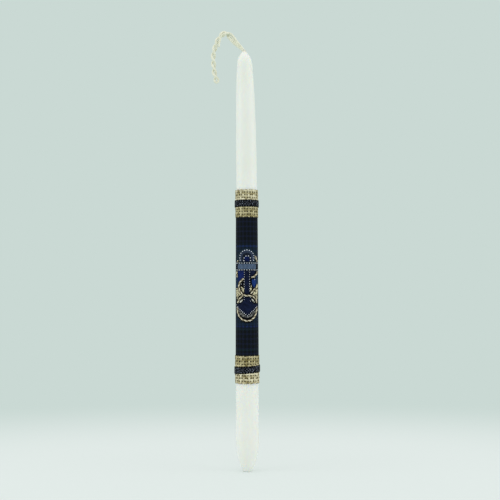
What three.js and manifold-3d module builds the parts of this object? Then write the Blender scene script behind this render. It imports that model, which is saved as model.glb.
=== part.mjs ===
// Tall white Easter taper with a tartan sleeve, jute bands, braid trims and an anchor badge.
// Millimetres. +Z runs up the candle, the origin is the middle of its foot and the badge faces -Y.
import * as THREE from 'three';
import * as BufferGeometryUtils from 'three/addons/utils/BufferGeometryUtils.js';
import Module from 'manifold-3d';

const wasm = await Module();
wasm.setup();

// Wax
const CANDLE_LENGTH = 400;
const BUTT_DIAMETER = 21.6;
const SHOULDER_DIAMETER = 19.2;
const TAPER_POWER = 1.65;
const FOOT_FLAT_DIAMETER = 7.6;
const DRAWN_IN_LENGTH = 24;
const POINT_LENGTH = 78;
const DOME_LENGTH = 11.7;
const DOME_DIAMETER = 14.5;
const NIPPLE_LENGTH = 3.6;
const NIPPLE_DIAMETER = 5.8;
const NIPPLE_TOP_DIAMETER = 3.8;
const NIPPLE_FLARE_HEIGHT = 1;
const SHOULDER_EASE = 0.2;
const DOME_BULGE = 0.9;
const DOME_EASE = 0.25;

// Wick
const WICK_CORE_DIAMETER = 2.4;
const WICK_BORE_CLEARANCE = 0.15;
const WICK_BORE_BOTTOM = 8;
const WICK_FREE_DIAMETER = 3.8;
const END_GAP = 0.3;

// Dressing: cloth sleeve, jute bands and braid trims
const LAYER_GAP = 0.05;
const DRESSING_BOTTOM = 83;
const DRESSING_LENGTH = 183;
const TARTAN_THICKNESS = 0.28;
const TARTAN_INSET = 1;
const JUTE_WIDTH = 26.2;
const JUTE_THICKNESS = 0.42;
const BRAID_WIDTH = 7.1;
const BRAID_THICKNESS = 0.7;
const BRAID_EDGE_RADIUS = 0.35;
const LOWER_BRAID_SLOPE = 0.075;
const SEAM_GAP = 0.4;
const SLEEVE_SEAM_ANGLE = 0;
const JUTE_SEAM_ANGLE = 14;
const BRAID_SEAM_ANGLE = -12;

// Badge: flat sizes of the cloth pieces and the cord before they are wrapped round the sleeve
const STOCK_CENTRE_HEIGHT = 193;
const STOCK_WIDTH = 18.6;
const STOCK_HEIGHT = 4.9;
const STOCK_CORNER = 1.6;
const STOCK_THICKNESS = 0.6;
const SHANK_WIDTH = 4.2;
const SHANK_LENGTH = 22.1;
const SHANK_DROP = 1.3;
const RING_LIFT = 1.85;
const RING_WIDTH = 14;
const RING_FOOT_WIDTH = 11.8;
const RING_CENTRE_LIFT = 4.8;
const RING_OPENING_WIDTH = 8.8;
const RING_OPENING_CENTRE_LIFT = 4.3;
const RING_INLAY_WIDTH = 8;
const RING_WINDOW_WIDTH = 4.8;
const RING_WINDOW_HEIGHT = 4.9;
const RING_WINDOW_CORNER = 1.4;
const RING_WINDOW_LIFT = 0.6;
const BACKING_WIDTH = 24.4;
const BACKING_TOP_WIDTH = 22.6;
const BACKING_TOP_RISE = 12.8;
const BACKING_BOTTOM_DEPTH = 17.6;
const BACKING_THICKNESS = 0.3;
const FELT_THICKNESS = 0.4;
const FELT_SPACING = 0.7;
const CORD_DIAMETER = 1.5;

// Crown of the anchor. Rises of an arm's foot, tip and bend are over the crown's point
const CROWN_DROP = 20.4;
const CROWN_POINT_SHIFT = 0.3;
const THROAT_DROP = 2.4;
const THROAT_FOOT_RISE = 15;
const LEFT_ARM = { throat: 2.8, reach: 9.8, foot: 8.9, tip: 10.9, bend: 11.3, fillReach: 7.6 };
const RIGHT_ARM = { throat: 3.4, reach: 10.9, foot: 9, tip: 11.6, bend: 10.2, fillReach: 9 };
const FILL_RISE = 1.1;
const FILL_HEIGHT = 4.1;
const CRESCENT_REACH = 8.7;
const CRESCENT_RISE = 6.4;
const CRESCENT_DIP = 4.4;
const LOOP_CENTRE_DROP = 9.6;

// Coloured grounds between the anchor and the cord
const BLUE_LEFT = { reach: 8.8, innerDepth: 8.2, outerDepth: 10.8 };
const NAVY_RIGHT = { reach: 9, innerDepth: 6.6, outerDepth: 4.2 };
const SHIELD_NEAR = 4.6;
const SHIELD_FAR = 9.3;
const SHIELD_DROP = 7.9;
const SHIELD_DEPTH = 8.2;
const CREAM_REACH = 11.8;
const CREAM_LEFT = { rise: 5.6, shoulder: 8.6 };
const CREAM_RIGHT = { rise: 9.4, shoulder: 10.6 };
const PATCH_LEFT = { reach: 6.2, bend: 5.9, rise: 8 };
const PATCH_RIGHT = { reach: 4.2, bend: 4.9, rise: 8.5 };

// Fineness of round and swept shapes
const ROUND_SIDES = 64;
const LEVEL_STEP = 40;
const CURVE_STEPS = 6;
const CORD_SIDES = 8;
const CORD_STEP = 1.9;
const WICK_STEP = 4.5;
const CUTTER_MARGIN = 1;

const BUTT_RADIUS = BUTT_DIAMETER / 2;
const SHOULDER_RADIUS = SHOULDER_DIAMETER / 2;
const SHOULDER_HEIGHT = CANDLE_LENGTH - POINT_LENGTH;
const DRESSING_TOP = DRESSING_BOTTOM + DRESSING_LENGTH;

const COLOURS = {
  wax: ['#f4f3ee', 0.42],
  wick: ['#e6e0c4', 0.95],
  tartan: ['#141a2b', 0.9],
  jute: ['#b8a97c', 0.95],
  braid: ['#10121f', 0.6],
  backing: ['#0a0c16', 0.9],
  slate: ['#4a5f80', 0.85],
  ringSlate: ['#28344c', 0.85],
  navy: ['#10132c', 0.85],
  royal: ['#1c2e80', 0.8],
  cream: ['#cfc592', 0.85],
  silver: ['#83837c', 0.8],
  gold: ['#bfa66a', 0.55],
};

const easterCandle = new THREE.Group();
easterCandle.name = 'easter_candle';

function addPiece(name, geometry, colour) {
  const [hex, roughness] = COLOURS[colour];
  const material = new THREE.MeshStandardMaterial({ color: hex, roughness, metalness: 0 });
  const mesh = new THREE.Mesh(geometry, material);
  mesh.name = name;
  easterCandle.add(mesh);
}

// Radius of the wax on its long straight-looking stretch, which tapers a little faster higher up
function waxRadius(height) {
  const share = (height - DRAWN_IN_LENGTH) / (SHOULDER_HEIGHT - DRAWN_IN_LENGTH);
  return BUTT_RADIUS - (BUTT_RADIUS - SHOULDER_RADIUS) * share ** TAPER_POWER;
}

function sleeveRadius(height) {
  return waxRadius(height) + LAYER_GAP + TARTAN_THICKNESS;
}

function juteRadius(height) {
  return sleeveRadius(height) + LAYER_GAP + JUTE_THICKNESS;
}

// Heights from low to high, evenly spaced and no further apart than LEVEL_STEP
function levelsBetween(low, high) {
  const count = Math.ceil((high - low) / LEVEL_STEP);
  return Array.from({ length: count + 1 }, (_, i) => low + ((high - low) * i) / count);
}

// Turns a profile of (radius, height) points round +Z, with a facet edge facing the front
function turned(profile) {
  const geometry = new THREE.LatheGeometry(profile, ROUND_SIDES);
  geometry.rotateX(Math.PI / 2);
  return geometry;
}

function turnedShell(innerRadius, outerRadius, low, high) {
  const levels = levelsBetween(low, high);
  const outer = levels.map((z) => new THREE.Vector2(outerRadius(z), z));
  const inner = levels.map((z) => new THREE.Vector2(innerRadius(z), z)).reverse();
  return turned([...outer, ...inner, outer[0].clone()]);
}

function toSolid(geometry) {
  const bare = geometry.clone();
  bare.deleteAttribute('normal');
  bare.deleteAttribute('uv');
  const merged = BufferGeometryUtils.mergeVertices(bare, 1e-4);
  const vertProperties = new Float32Array(merged.attributes.position.array);
  const triVerts = new Uint32Array(merged.index.array);
  return new wasm.Manifold(new wasm.Mesh({ numProp: 3, vertProperties, triVerts }));
}

function toGeometry(solid) {
  const { vertProperties, triVerts } = solid.getMesh();
  const geometry = new THREE.BufferGeometry();
  geometry.setAttribute('position', new THREE.BufferAttribute(vertProperties, 3));
  geometry.setIndex(new THREE.BufferAttribute(triVerts, 1));
  geometry.computeVertexNormals();
  return geometry;
}

// Opens a wrapped strip along one line at the back, where its two ends meet
function withSeam(strip, angleDegrees) {
  strip.computeBoundingBox();
  const { min, max } = strip.boundingBox;
  const reach = BUTT_DIAMETER;
  const slit = new THREE.BoxGeometry(SEAM_GAP, reach, 2 * (max.z - min.z));
  slit.translate(0, reach / 2, (min.z + max.z) / 2);
  slit.rotateZ(THREE.MathUtils.degToRad(angleDegrees));
  return toGeometry(toSolid(strip).subtract(toSolid(slit)));
}

// Wax body, from its dipped foot to the rim round the wick
function footProfile() {
  const foot = new THREE.Path();
  foot.moveTo(0, 0);
  foot.lineTo(FOOT_FLAT_DIAMETER / 2, 0);
  foot.bezierCurveTo(
    THREE.MathUtils.lerp(FOOT_FLAT_DIAMETER, BUTT_DIAMETER, 0.4) / 2, DRAWN_IN_LENGTH * 0.05,
    THREE.MathUtils.lerp(FOOT_FLAT_DIAMETER, BUTT_DIAMETER, 0.97) / 2, DRAWN_IN_LENGTH * 0.52,
    BUTT_RADIUS, DRAWN_IN_LENGTH,
  );
  return foot.getPoints(CURVE_STEPS);
}

function pointProfile() {
  const domeBase = CANDLE_LENGTH - DOME_LENGTH;
  const nippleBase = CANDLE_LENGTH - NIPPLE_LENGTH;
  const point = new THREE.Path();
  point.moveTo(SHOULDER_RADIUS, SHOULDER_HEIGHT);
  point.bezierCurveTo(
    SHOULDER_RADIUS - SHOULDER_EASE, THREE.MathUtils.lerp(SHOULDER_HEIGHT, domeBase, 0.42),
    DOME_DIAMETER / 2 + DOME_BULGE, THREE.MathUtils.lerp(SHOULDER_HEIGHT, domeBase, 0.8),
    DOME_DIAMETER / 2, domeBase,
  );
  point.bezierCurveTo(
    DOME_DIAMETER / 2 - DOME_EASE, THREE.MathUtils.lerp(domeBase, nippleBase, 0.45),
    (DOME_DIAMETER + NIPPLE_DIAMETER) / 4, THREE.MathUtils.lerp(domeBase, nippleBase, 0.8),
    NIPPLE_DIAMETER / 2, nippleBase,
  );
  point.quadraticCurveTo(
    NIPPLE_TOP_DIAMETER / 2, nippleBase + NIPPLE_FLARE_HEIGHT, NIPPLE_TOP_DIAMETER / 2, CANDLE_LENGTH);
  return point.getPoints(CURVE_STEPS);
}

function candleBody() {
  const boreRadius = WICK_CORE_DIAMETER / 2 + WICK_BORE_CLEARANCE;
  const body = levelsBetween(DRAWN_IN_LENGTH, SHOULDER_HEIGHT).slice(1, -1);
  return turned([
    ...footProfile(),
    ...body.map((z) => new THREE.Vector2(waxRadius(z), z)),
    ...pointProfile(),
    new THREE.Vector2(boreRadius, CANDLE_LENGTH),
    new THREE.Vector2(boreRadius, WICK_BORE_BOTTOM),
    new THREE.Vector2(0, WICK_BORE_BOTTOM),
  ]);
}

addPiece('candle_body', candleBody(), 'wax');

// Wick: the stretch inside the wax and the free stretch that arches over and hangs at the left
function wickCore() {
  const bottom = WICK_BORE_BOTTOM + END_GAP;
  const core = new THREE.CylinderGeometry(
    WICK_CORE_DIAMETER / 2, WICK_CORE_DIAMETER / 2, CANDLE_LENGTH - bottom, 2 * CORD_SIDES);
  core.rotateX(Math.PI / 2);
  core.translate(0, 0, (CANDLE_LENGTH + bottom) / 2);
  return core;
}

function cordSection(diameter) {
  const section = new THREE.Shape();
  section.absarc(0, 0, diameter / 2, 0, 2 * Math.PI);
  return new THREE.Shape(section.getSpacedPoints(CORD_SIDES).slice(0, CORD_SIDES));
}

function sweptCord(points, diameter, step) {
  const path = new THREE.CatmullRomCurve3(points, false, 'centripetal');
  const steps = Math.ceil(path.getLength() / step);
  return new THREE.ExtrudeGeometry(cordSection(diameter), { steps, extrudePath: path, bevelEnabled: false });
}

// Route of the free wick: distance to the right, distance to the back, height above the wax
const WICK_ROUTE = [
  [-0.3, 0, 1.3],
  [-1.4, 0, 2.7],
  [-4.6, -0.2, 4.6],
  [-9.3, -0.5, 7.6],
  [-14, -0.8, 12.8],
  [-18.4, -1, 15.8],
  [-23, -1, 13.9],
  [-26.9, -0.9, 7.6],
  [-29.7, -0.8, -0.4],
  [-30.4, -0.7, -6.4],
  [-29.8, -0.6, -14.6],
  [-29, -0.6, -22.2],
  [-27.9, -0.6, -28.9],
];

function wickFree() {
  const points = WICK_ROUTE.map(([x, y, rise]) => new THREE.Vector3(x, y, CANDLE_LENGTH + rise));
  return sweptCord(points, WICK_FREE_DIAMETER, WICK_STEP);
}

addPiece('wick_core', wickCore(), 'wick');
addPiece('wick_free', wickFree(), 'wick');

// Tartan sleeve and jute bands, each a strip of cloth wrapped once round
function tartanSleeve() {
  const inner = (z) => waxRadius(z) + LAYER_GAP;
  const [low, high] = [DRESSING_BOTTOM + TARTAN_INSET, DRESSING_TOP - TARTAN_INSET];
  return withSeam(turnedShell(inner, sleeveRadius, low, high), SLEEVE_SEAM_ANGLE);
}

function juteBand(low) {
  const inner = (z) => sleeveRadius(z) + LAYER_GAP;
  return withSeam(turnedShell(inner, juteRadius, low, low + JUTE_WIDTH), JUTE_SEAM_ANGLE);
}

addPiece('tartan_sleeve', tartanSleeve(), 'tartan');
addPiece('lower_jute_band', juteBand(DRESSING_BOTTOM), 'jute');
addPiece('upper_jute_band', juteBand(DRESSING_TOP - JUTE_WIDTH), 'jute');

// Braid trims: flat braid with soft edges round the middle of each jute band
function braidTrim(centre, slope) {
  const bottom = centre - BRAID_WIDTH / 2;
  const top = centre + BRAID_WIDTH / 2;
  const rise = slope * BUTT_RADIUS;
  const inner = juteRadius(bottom - rise) + LAYER_GAP;
  const outer = inner + BRAID_THICKNESS;
  const edge = BRAID_EDGE_RADIUS;
  const profile = new THREE.Path();
  profile.moveTo(inner, bottom);
  profile.lineTo(outer - edge, bottom);
  profile.quadraticCurveTo(outer, bottom, outer, bottom + edge);
  profile.lineTo(outer, top - edge);
  profile.quadraticCurveTo(outer, top, outer - edge, top);
  profile.lineTo(inner, top);
  profile.lineTo(inner, bottom);
  const trim = withSeam(turned(profile.getPoints(CURVE_STEPS / 4)), BRAID_SEAM_ANGLE);
  return trim.applyMatrix4(new THREE.Matrix4().makeShear(0, slope, 0, 0, 0, 0));
}

addPiece('lower_braid_trim', braidTrim(DRESSING_BOTTOM + JUTE_WIDTH / 2, LOWER_BRAID_SLOPE), 'braid');
addPiece('upper_braid_trim', braidTrim(DRESSING_TOP - JUTE_WIDTH / 2, 0), 'braid');

// Heights and layers of the badge
const STOCK_TOP = STOCK_CENTRE_HEIGHT + STOCK_HEIGHT / 2;
const STOCK_BOTTOM = STOCK_CENTRE_HEIGHT - STOCK_HEIGHT / 2;
const RING_BASE = STOCK_TOP + RING_LIFT;
const SHANK_TOP = STOCK_BOTTOM - SHANK_DROP;
const SHANK_BOTTOM = SHANK_TOP - SHANK_LENGTH;
const CROWN_POINT = SHANK_BOTTOM - CROWN_DROP;
const LOOP_CENTRE = SHANK_BOTTOM - LOOP_CENTRE_DROP;
const BESIDE_SHANK = SHANK_WIDTH / 2 + FELT_SPACING;
const WRAP_RADIUS = sleeveRadius(SHANK_BOTTOM);
const FELT_BASE = LAYER_GAP + BACKING_THICKNESS + LAYER_GAP;
const CORD_BASE = FELT_BASE + FELT_THICKNESS + LAYER_GAP;

// Cuts a flat shape out of a cloth layer that lies round the sleeve. The cutter is the shape drawn out
// into a block, and bent so that its side walls point at the axis: deep inside, both faces, far outside.
function wrappedPatch(shape, base, thickness) {
  const inside = WRAP_RADIUS + base - CUTTER_MARGIN;
  const outside = WRAP_RADIUS + base + thickness + CUTTER_MARGIN;
  const radii = [inside / 2, inside, outside, outside * 4];
  const steps = radii.length - 1;
  const cutter = new THREE.ExtrudeGeometry(
    shape, { depth: steps, steps, bevelEnabled: false, curveSegments: CURVE_STEPS });
  const position = cutter.attributes.position;
  for (let i = 0; i < position.count; i += 1) {
    const angle = position.getX(i) / WRAP_RADIUS;
    const radius = radii[Math.round(position.getZ(i))];
    position.setXYZ(i, radius * Math.sin(angle), -radius * Math.cos(angle), position.getY(i));
  }
  cutter.computeBoundingBox();
  const { min, max } = cutter.boundingBox;
  const inner = (z) => sleeveRadius(z) + base;
  const outer = (z) => inner(z) + thickness;
  const layer = turnedShell(inner, outer, min.z - CUTTER_MARGIN, max.z + CUTTER_MARGIN);
  return toGeometry(toSolid(layer).intersect(toSolid(cutter)));
}

function felt(shape) {
  return wrappedPatch(shape, FELT_BASE, FELT_THICKNESS);
}

// Arch that stands on a level base: straight legs and a round top about a centre
function archShape(width, base, centre) {
  const arch = new THREE.Shape();
  arch.moveTo(-width / 2, base);
  arch.lineTo(width / 2, base);
  arch.absarc(0, centre, width / 2, 0, Math.PI, false);
  arch.closePath();
  return arch;
}

// Upright box with rounded top corners and, where bottomCorner is more than 0, rounded bottom ones
function boxShape(width, bottom, top, topCorner = 0, bottomCorner = 0) {
  const half = width / 2;
  const box = new THREE.Shape();
  box.moveTo(half - bottomCorner, bottom);
  if (bottomCorner > 0) box.quadraticCurveTo(half, bottom, half, bottom + bottomCorner);
  box.lineTo(half, top - topCorner);
  if (topCorner > 0) box.quadraticCurveTo(half, top, half - topCorner, top);
  box.lineTo(-half + topCorner, top);
  if (topCorner > 0) box.quadraticCurveTo(-half, top, -half, top - topCorner);
  box.lineTo(-half, bottom + bottomCorner);
  if (bottomCorner > 0) box.quadraticCurveTo(-half, bottom, -half + bottomCorner, bottom);
  box.closePath();
  return box;
}

function backingShape() {
  const half = BACKING_WIDTH / 2;
  const topHalf = BACKING_TOP_WIDTH / 2;
  const outline = new THREE.Shape();
  outline.moveTo(half, LOOP_CENTRE);
  outline.lineTo(half, STOCK_BOTTOM);
  outline.lineTo(topHalf, RING_BASE);
  outline.absellipse(0, RING_BASE, topHalf, BACKING_TOP_RISE, 0, Math.PI, false);
  outline.lineTo(-half, STOCK_BOTTOM);
  outline.lineTo(-half, LOOP_CENTRE);
  outline.absellipse(0, LOOP_CENTRE, half, BACKING_BOTTOM_DEPTH, Math.PI, 2 * Math.PI, false);
  return outline;
}

// Ring of the anchor: a round top whose sides draw in to the stock, with an arched opening
function ringShape() {
  const half = RING_WIDTH / 2;
  const foot = RING_FOOT_WIDTH / 2;
  const openingHalf = RING_OPENING_WIDTH / 2;
  const centre = RING_BASE + RING_CENTRE_LIFT;
  const ring = new THREE.Shape();
  ring.moveTo(foot, RING_BASE);
  ring.quadraticCurveTo(half, RING_BASE + RING_CENTRE_LIFT / 2, half, centre);
  ring.absarc(0, centre, half, 0, Math.PI, false);
  ring.quadraticCurveTo(-half, RING_BASE + RING_CENTRE_LIFT / 2, -foot, RING_BASE);
  ring.lineTo(-openingHalf, RING_BASE);
  ring.absarc(0, RING_BASE + RING_OPENING_CENTRE_LIFT, openingHalf, Math.PI, 0, true);
  ring.lineTo(openingHalf, RING_BASE);
  ring.closePath();
  return ring;
}

function windowShape(margin) {
  const bottom = RING_BASE + RING_WINDOW_LIFT - margin;
  const top = bottom + RING_WINDOW_HEIGHT + 2 * margin;
  return boxShape(RING_WINDOW_WIDTH + 2 * margin, bottom, top, RING_WINDOW_CORNER);
}

function ringInlayShape() {
  const inlay = archShape(RING_INLAY_WIDTH, RING_BASE, RING_BASE + RING_OPENING_CENTRE_LIFT);
  inlay.holes.push(windowShape(END_GAP));
  return inlay;
}

// Crown and arms: a throat under the shank that spreads into two arms, with its point down
function crownShape() {
  const above = (rise) => CROWN_POINT + rise;
  const throatTop = SHANK_BOTTOM - THROAT_DROP;
  const [left, right] = [LEFT_ARM, RIGHT_ARM];
  const crown = new THREE.Shape();
  crown.moveTo(CROWN_POINT_SHIFT, CROWN_POINT);
  crown.quadraticCurveTo(right.reach / 2, above(right.foot * 0.4), right.reach, above(right.foot));
  crown.lineTo(right.reach, above(right.tip));
  crown.quadraticCurveTo(right.throat * 1.3, above(right.bend), right.throat, above(THROAT_FOOT_RISE));
  crown.lineTo(right.throat, throatTop);
  crown.lineTo(-left.throat, throatTop);
  crown.lineTo(-left.throat, above(THROAT_FOOT_RISE));
  crown.quadraticCurveTo(-left.throat * 1.3, above(left.bend), -left.reach, above(left.tip));
  crown.lineTo(-left.reach, above(left.foot));
  crown.quadraticCurveTo(-left.reach / 2, above(left.foot * 0.4), CROWN_POINT_SHIFT, CROWN_POINT);
  return crown;
}

// Crescent between the crown's point and the bottom of the cord loop
function crescentShape() {
  const tip = CROWN_POINT + CRESCENT_RISE;
  const dip = CROWN_POINT - CRESCENT_DIP;
  const bend = CROWN_POINT + CRESCENT_RISE / 3;
  const crescent = new THREE.Shape();
  crescent.moveTo(-CRESCENT_REACH, tip);
  crescent.bezierCurveTo(-CRESCENT_REACH * 0.8, dip, CRESCENT_REACH * 0.8, dip, CRESCENT_REACH, tip);
  crescent.quadraticCurveTo(CRESCENT_REACH / 2, bend, CROWN_POINT_SHIFT, CROWN_POINT - 1);
  crescent.quadraticCurveTo(-CRESCENT_REACH / 2, bend, -CRESCENT_REACH, tip);
  return crescent;
}

// Leaf-shaped ground over an arm's upper edge. side is -1 on the viewer's left
function crownFillShape(side, { throat, fillReach }) {
  const near = throat + FELT_SPACING;
  const middle = near + (fillReach - near) * 0.7;
  const top = CROWN_POINT + THROAT_FOOT_RISE + FILL_RISE;
  const tip = top - FILL_HEIGHT;
  const fill = new THREE.Shape();
  fill.moveTo(side * near, top);
  fill.quadraticCurveTo(side * (near + 0.6), tip + FILL_HEIGHT * 0.2, side * fillReach, tip);
  fill.quadraticCurveTo(side * middle, tip + FILL_HEIGHT * 0.63, side * near, top);
  return fill;
}

// Ground beside the shank. Its lower edge runs under the cord
function besideShankShape(side, { reach, innerDepth, outerDepth }) {
  const bend = THREE.MathUtils.lerp(innerDepth, outerDepth, 0.6);
  const field = new THREE.Shape();
  field.moveTo(side * BESIDE_SHANK, SHANK_TOP);
  field.lineTo(side * reach, SHANK_TOP);
  field.lineTo(side * reach, SHANK_TOP - outerDepth);
  field.quadraticCurveTo(side * reach * 0.65, SHANK_TOP - bend, side * BESIDE_SHANK, SHANK_TOP - innerDepth);
  field.closePath();
  return field;
}

// Shield-shaped ground on the right, with its point down
function shieldShape() {
  const top = SHANK_TOP - SHIELD_DROP;
  const shield = new THREE.Shape();
  shield.moveTo(SHIELD_NEAR, top);
  shield.quadraticCurveTo(
    SHIELD_NEAR, top - SHIELD_DEPTH * 0.85, (SHIELD_NEAR + SHIELD_FAR) / 2, top - SHIELD_DEPTH);
  shield.quadraticCurveTo(SHIELD_FAR, top - SHIELD_DEPTH * 0.8, SHIELD_FAR, top);
  shield.closePath();
  return shield;
}

// Cream ground outside the crossing cords
function creamFieldShape(side, { rise, shoulder }) {
  const top = SHANK_BOTTOM + rise;
  const field = new THREE.Shape();
  field.moveTo(side * CREAM_REACH, top);
  field.lineTo(side * shoulder, top);
  field.quadraticCurveTo(side * 6.9, SHANK_BOTTOM + rise * 0.28, side * 5.4, SHANK_BOTTOM - 0.8);
  field.quadraticCurveTo(side * 8.8, SHANK_BOTTOM - 1.6, side * 10.7, SHANK_BOTTOM - 5.6);
  field.lineTo(side * CREAM_REACH, SHANK_BOTTOM + 0.8);
  field.closePath();
  return field;
}

// Small cream patch between the shank and the cord
function creamPatchShape(side, { reach, bend, rise }) {
  const patch = new THREE.Shape();
  patch.moveTo(side * BESIDE_SHANK, SHANK_BOTTOM + rise * 0.65);
  patch.lineTo(side * reach, SHANK_BOTTOM + rise);
  patch.quadraticCurveTo(side * bend, SHANK_BOTTOM + 3.6, side * BESIDE_SHANK, SHANK_BOTTOM + 0.7);
  patch.closePath();
  return patch;
}

const stockShape = boxShape(STOCK_WIDTH, STOCK_BOTTOM, STOCK_TOP, STOCK_CORNER, STOCK_CORNER);
addPiece('badge_backing', wrappedPatch(backingShape(), LAYER_GAP, BACKING_THICKNESS), 'backing');
addPiece('anchor_ring', felt(ringShape()), 'ringSlate');
addPiece('ring_inlay', felt(ringInlayShape()), 'ringSlate');
addPiece('ring_window', felt(windowShape(0)), 'royal');
addPiece('anchor_stock', wrappedPatch(stockShape, FELT_BASE, STOCK_THICKNESS), 'slate');
addPiece('anchor_shank', felt(boxShape(SHANK_WIDTH, SHANK_BOTTOM, SHANK_TOP)), 'navy');
addPiece('anchor_crown', felt(crownShape()), 'navy');
addPiece('crescent_patch', felt(crescentShape()), 'silver');
addPiece('crown_fill_left', felt(crownFillShape(-1, LEFT_ARM)), 'silver');
addPiece('crown_fill_right', felt(crownFillShape(1, RIGHT_ARM)), 'silver');
addPiece('blue_field_left', felt(besideShankShape(-1, BLUE_LEFT)), 'royal');
addPiece('navy_field_right', felt(besideShankShape(1, NAVY_RIGHT)), 'navy');
addPiece('blue_field_right', felt(shieldShape()), 'royal');
addPiece('cream_field_left', felt(creamFieldShape(-1, CREAM_LEFT)), 'cream');
addPiece('cream_field_right', felt(creamFieldShape(1, CREAM_RIGHT)), 'cream');
addPiece('cream_patch_left', felt(creamPatchShape(-1, PATCH_LEFT)), 'cream');
addPiece('cream_patch_right', felt(creamPatchShape(1, PATCH_RIGHT)), 'cream');

// Gold cord. It shows in lengths, because it passes behind the stock, the shank and the arms.
// Each route is (distance round the sleeve, height over the shank's foot)
const CORDS_OVER_CLOTH = {
  cord_main: [
    [-2.8, 14.3],
    [-4.5, 13.1],
    [-6.2, 11.5],
    [-7.3, 9.5],
    [-7.6, 7.2],
    [-7.2, 4.9],
    [-6, 2.6],
    [-4.3, 0.6],
    [-2.2, -1],
    [0, -1.6],
    [2.2, -1.5],
    [4.2, -2],
    [6, -3.1],
    [7.6, -4.7],
    [8.7, -6.6],
    [9.2, -8.2],
  ],
  cord_upper_end: [
    [3.9, 15.6],
    [6, 16.4],
    [8, 17.8],
    [9.4, 19.5],
    [10.1, 21.1],
  ],
};
const CORDS_ON_BACKING = {
  cord_left: [
    [-4.1, -1.9],
    [-5.8, -3.4],
    [-7.3, -5.1],
    [-8.4, -6.9],
    [-8.9, -8.4],
  ],
  cord_loop: [
    [-9.9, -12.7],
    [-9.9, -15.6],
    [-9.2, -18.4],
    [-7.6, -20.9],
    [-5.5, -22.9],
    [-2.8, -24.6],
    [0.1, -25.3],
    [3, -24.7],
    [5.7, -22.9],
    [7.8, -20.6],
    [9.3, -17.8],
    [10, -15],
    [10.1, -12.6],
  ],
  cord_tail: [
    [3.7, 0.2],
    [4.4, 1.6],
    [5.5, 3.1],
    [7.2, 4.9],
  ],
  cord_side_left: [
    [-9.8, 15.9],
    [-9.9, 18.6],
    [-10.1, 21.3],
  ],
  cord_ring_left: [
    [-9.1, 30.2],
    [-8.6, 31.2],
    [-8, 32.3],
  ],
  cord_ring_right: [
    [10, 30.4],
    [9.6, 32.4],
    [8.7, 33.9],
    [8, 35.7],
  ],
};

function wrappedCord(route, base) {
  const points = route.map(([along, rise]) => {
    const height = SHANK_BOTTOM + rise;
    const angle = along / WRAP_RADIUS;
    const radius = sleeveRadius(height) + base + CORD_DIAMETER / 2;
    return new THREE.Vector3(radius * Math.sin(angle), -radius * Math.cos(angle), height);
  });
  return sweptCord(points, CORD_DIAMETER, CORD_STEP);
}

function addCords(routes, base) {
  for (const [name, route] of Object.entries(routes)) addPiece(name, wrappedCord(route, base), 'gold');
}

addCords(CORDS_OVER_CLOTH, CORD_BASE);
addCords(CORDS_ON_BACKING, FELT_BASE);

export default easterCandle;
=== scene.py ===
# %% [markdown]
# # An Easter candle dressed in tartan
#
# This lesson dresses the packed model of a tall white Easter taper. The candle is 400 mm of
# dipped wax. Its middle is wrapped in tartan cloth, with a band of jute and a dark braid at each
# end, and an anchor of felt, white stitches and gold cord on the front. The wick is two cotton
# strands that arch over and hang beside the tip.
#
# The packed model is a fixed frame. It says where each piece is, and every piece is made again
# here in nearly the same place, with the detail that wax, cloth and cord have. All lengths are
# metres, and MM turns millimetres into them.

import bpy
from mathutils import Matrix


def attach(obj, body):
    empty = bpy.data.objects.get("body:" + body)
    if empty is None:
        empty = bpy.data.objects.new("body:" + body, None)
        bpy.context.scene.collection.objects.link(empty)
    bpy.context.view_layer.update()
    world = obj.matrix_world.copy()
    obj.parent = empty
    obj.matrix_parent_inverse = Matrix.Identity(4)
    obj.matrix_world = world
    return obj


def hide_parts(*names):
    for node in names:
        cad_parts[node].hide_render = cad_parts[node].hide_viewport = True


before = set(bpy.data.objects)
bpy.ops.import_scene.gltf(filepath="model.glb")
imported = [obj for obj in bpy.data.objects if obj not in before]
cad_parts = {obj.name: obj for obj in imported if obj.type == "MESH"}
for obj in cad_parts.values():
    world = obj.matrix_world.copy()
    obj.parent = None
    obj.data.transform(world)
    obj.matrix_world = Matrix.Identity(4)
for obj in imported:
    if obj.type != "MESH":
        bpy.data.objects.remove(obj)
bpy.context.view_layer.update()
print("solids in the frame:", len(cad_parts))

# %% Python modules
import math

import bpy
import numpy as np
from mathutils import Quaternion, Vector
from mathutils.geometry import delaunay_2d_cdt

MM = 0.001
MADE = []


def show(thing):
    """Puts an object into the scene."""
    bpy.context.scene.collection.objects.link(thing)
    return thing


print("made with Blender", bpy.app.version_string)

# %% [markdown]
# ## The camera
#
# The picture is square and shows the candle from straight in front. The eye is level with the
# anchor's shank, 176 mm up, so the floor shows below and the lens tilts up by two degrees. The
# candle is a little left of the middle and leans by a fifth of a degree, and a camera that is
# shifted and rolled by that much shows it so, while the candle stays upright.

# %% Camera
EYE = Vector((0.0030, -0.87, 0.176))
AIM = Vector((0.0030, 0, 0.2090))
LENS_MM = 65.8
ROLL_DEGREES = -0.19

view = bpy.data.cameras.new("view")
view.sensor_width = 36
view.lens = LENS_MM
camera = show(bpy.data.objects.new("view", view))
camera.location = EYE
camera.rotation_mode = "QUATERNION"
level_turn = (AIM - EYE).to_track_quat("-Z", "Y")
camera.rotation_quaternion = level_turn @ Quaternion((0, 0, 1), math.radians(ROLL_DEGREES))
bpy.context.scene.camera = camera
print("width of the view at the candle:", round(-EYE.y * view.sensor_width / LENS_MM, 3), "m")

# %% [markdown]
# ## Sums on sockets
#
# Materials and geometry trees both need a lot of arithmetic. Making each Math node by hand hides
# the formula, so one class wraps a socket and lets Python's own signs add the nodes. Any other
# node comes from its method `node`, which sets the node's settings first and then its sockets.

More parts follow.
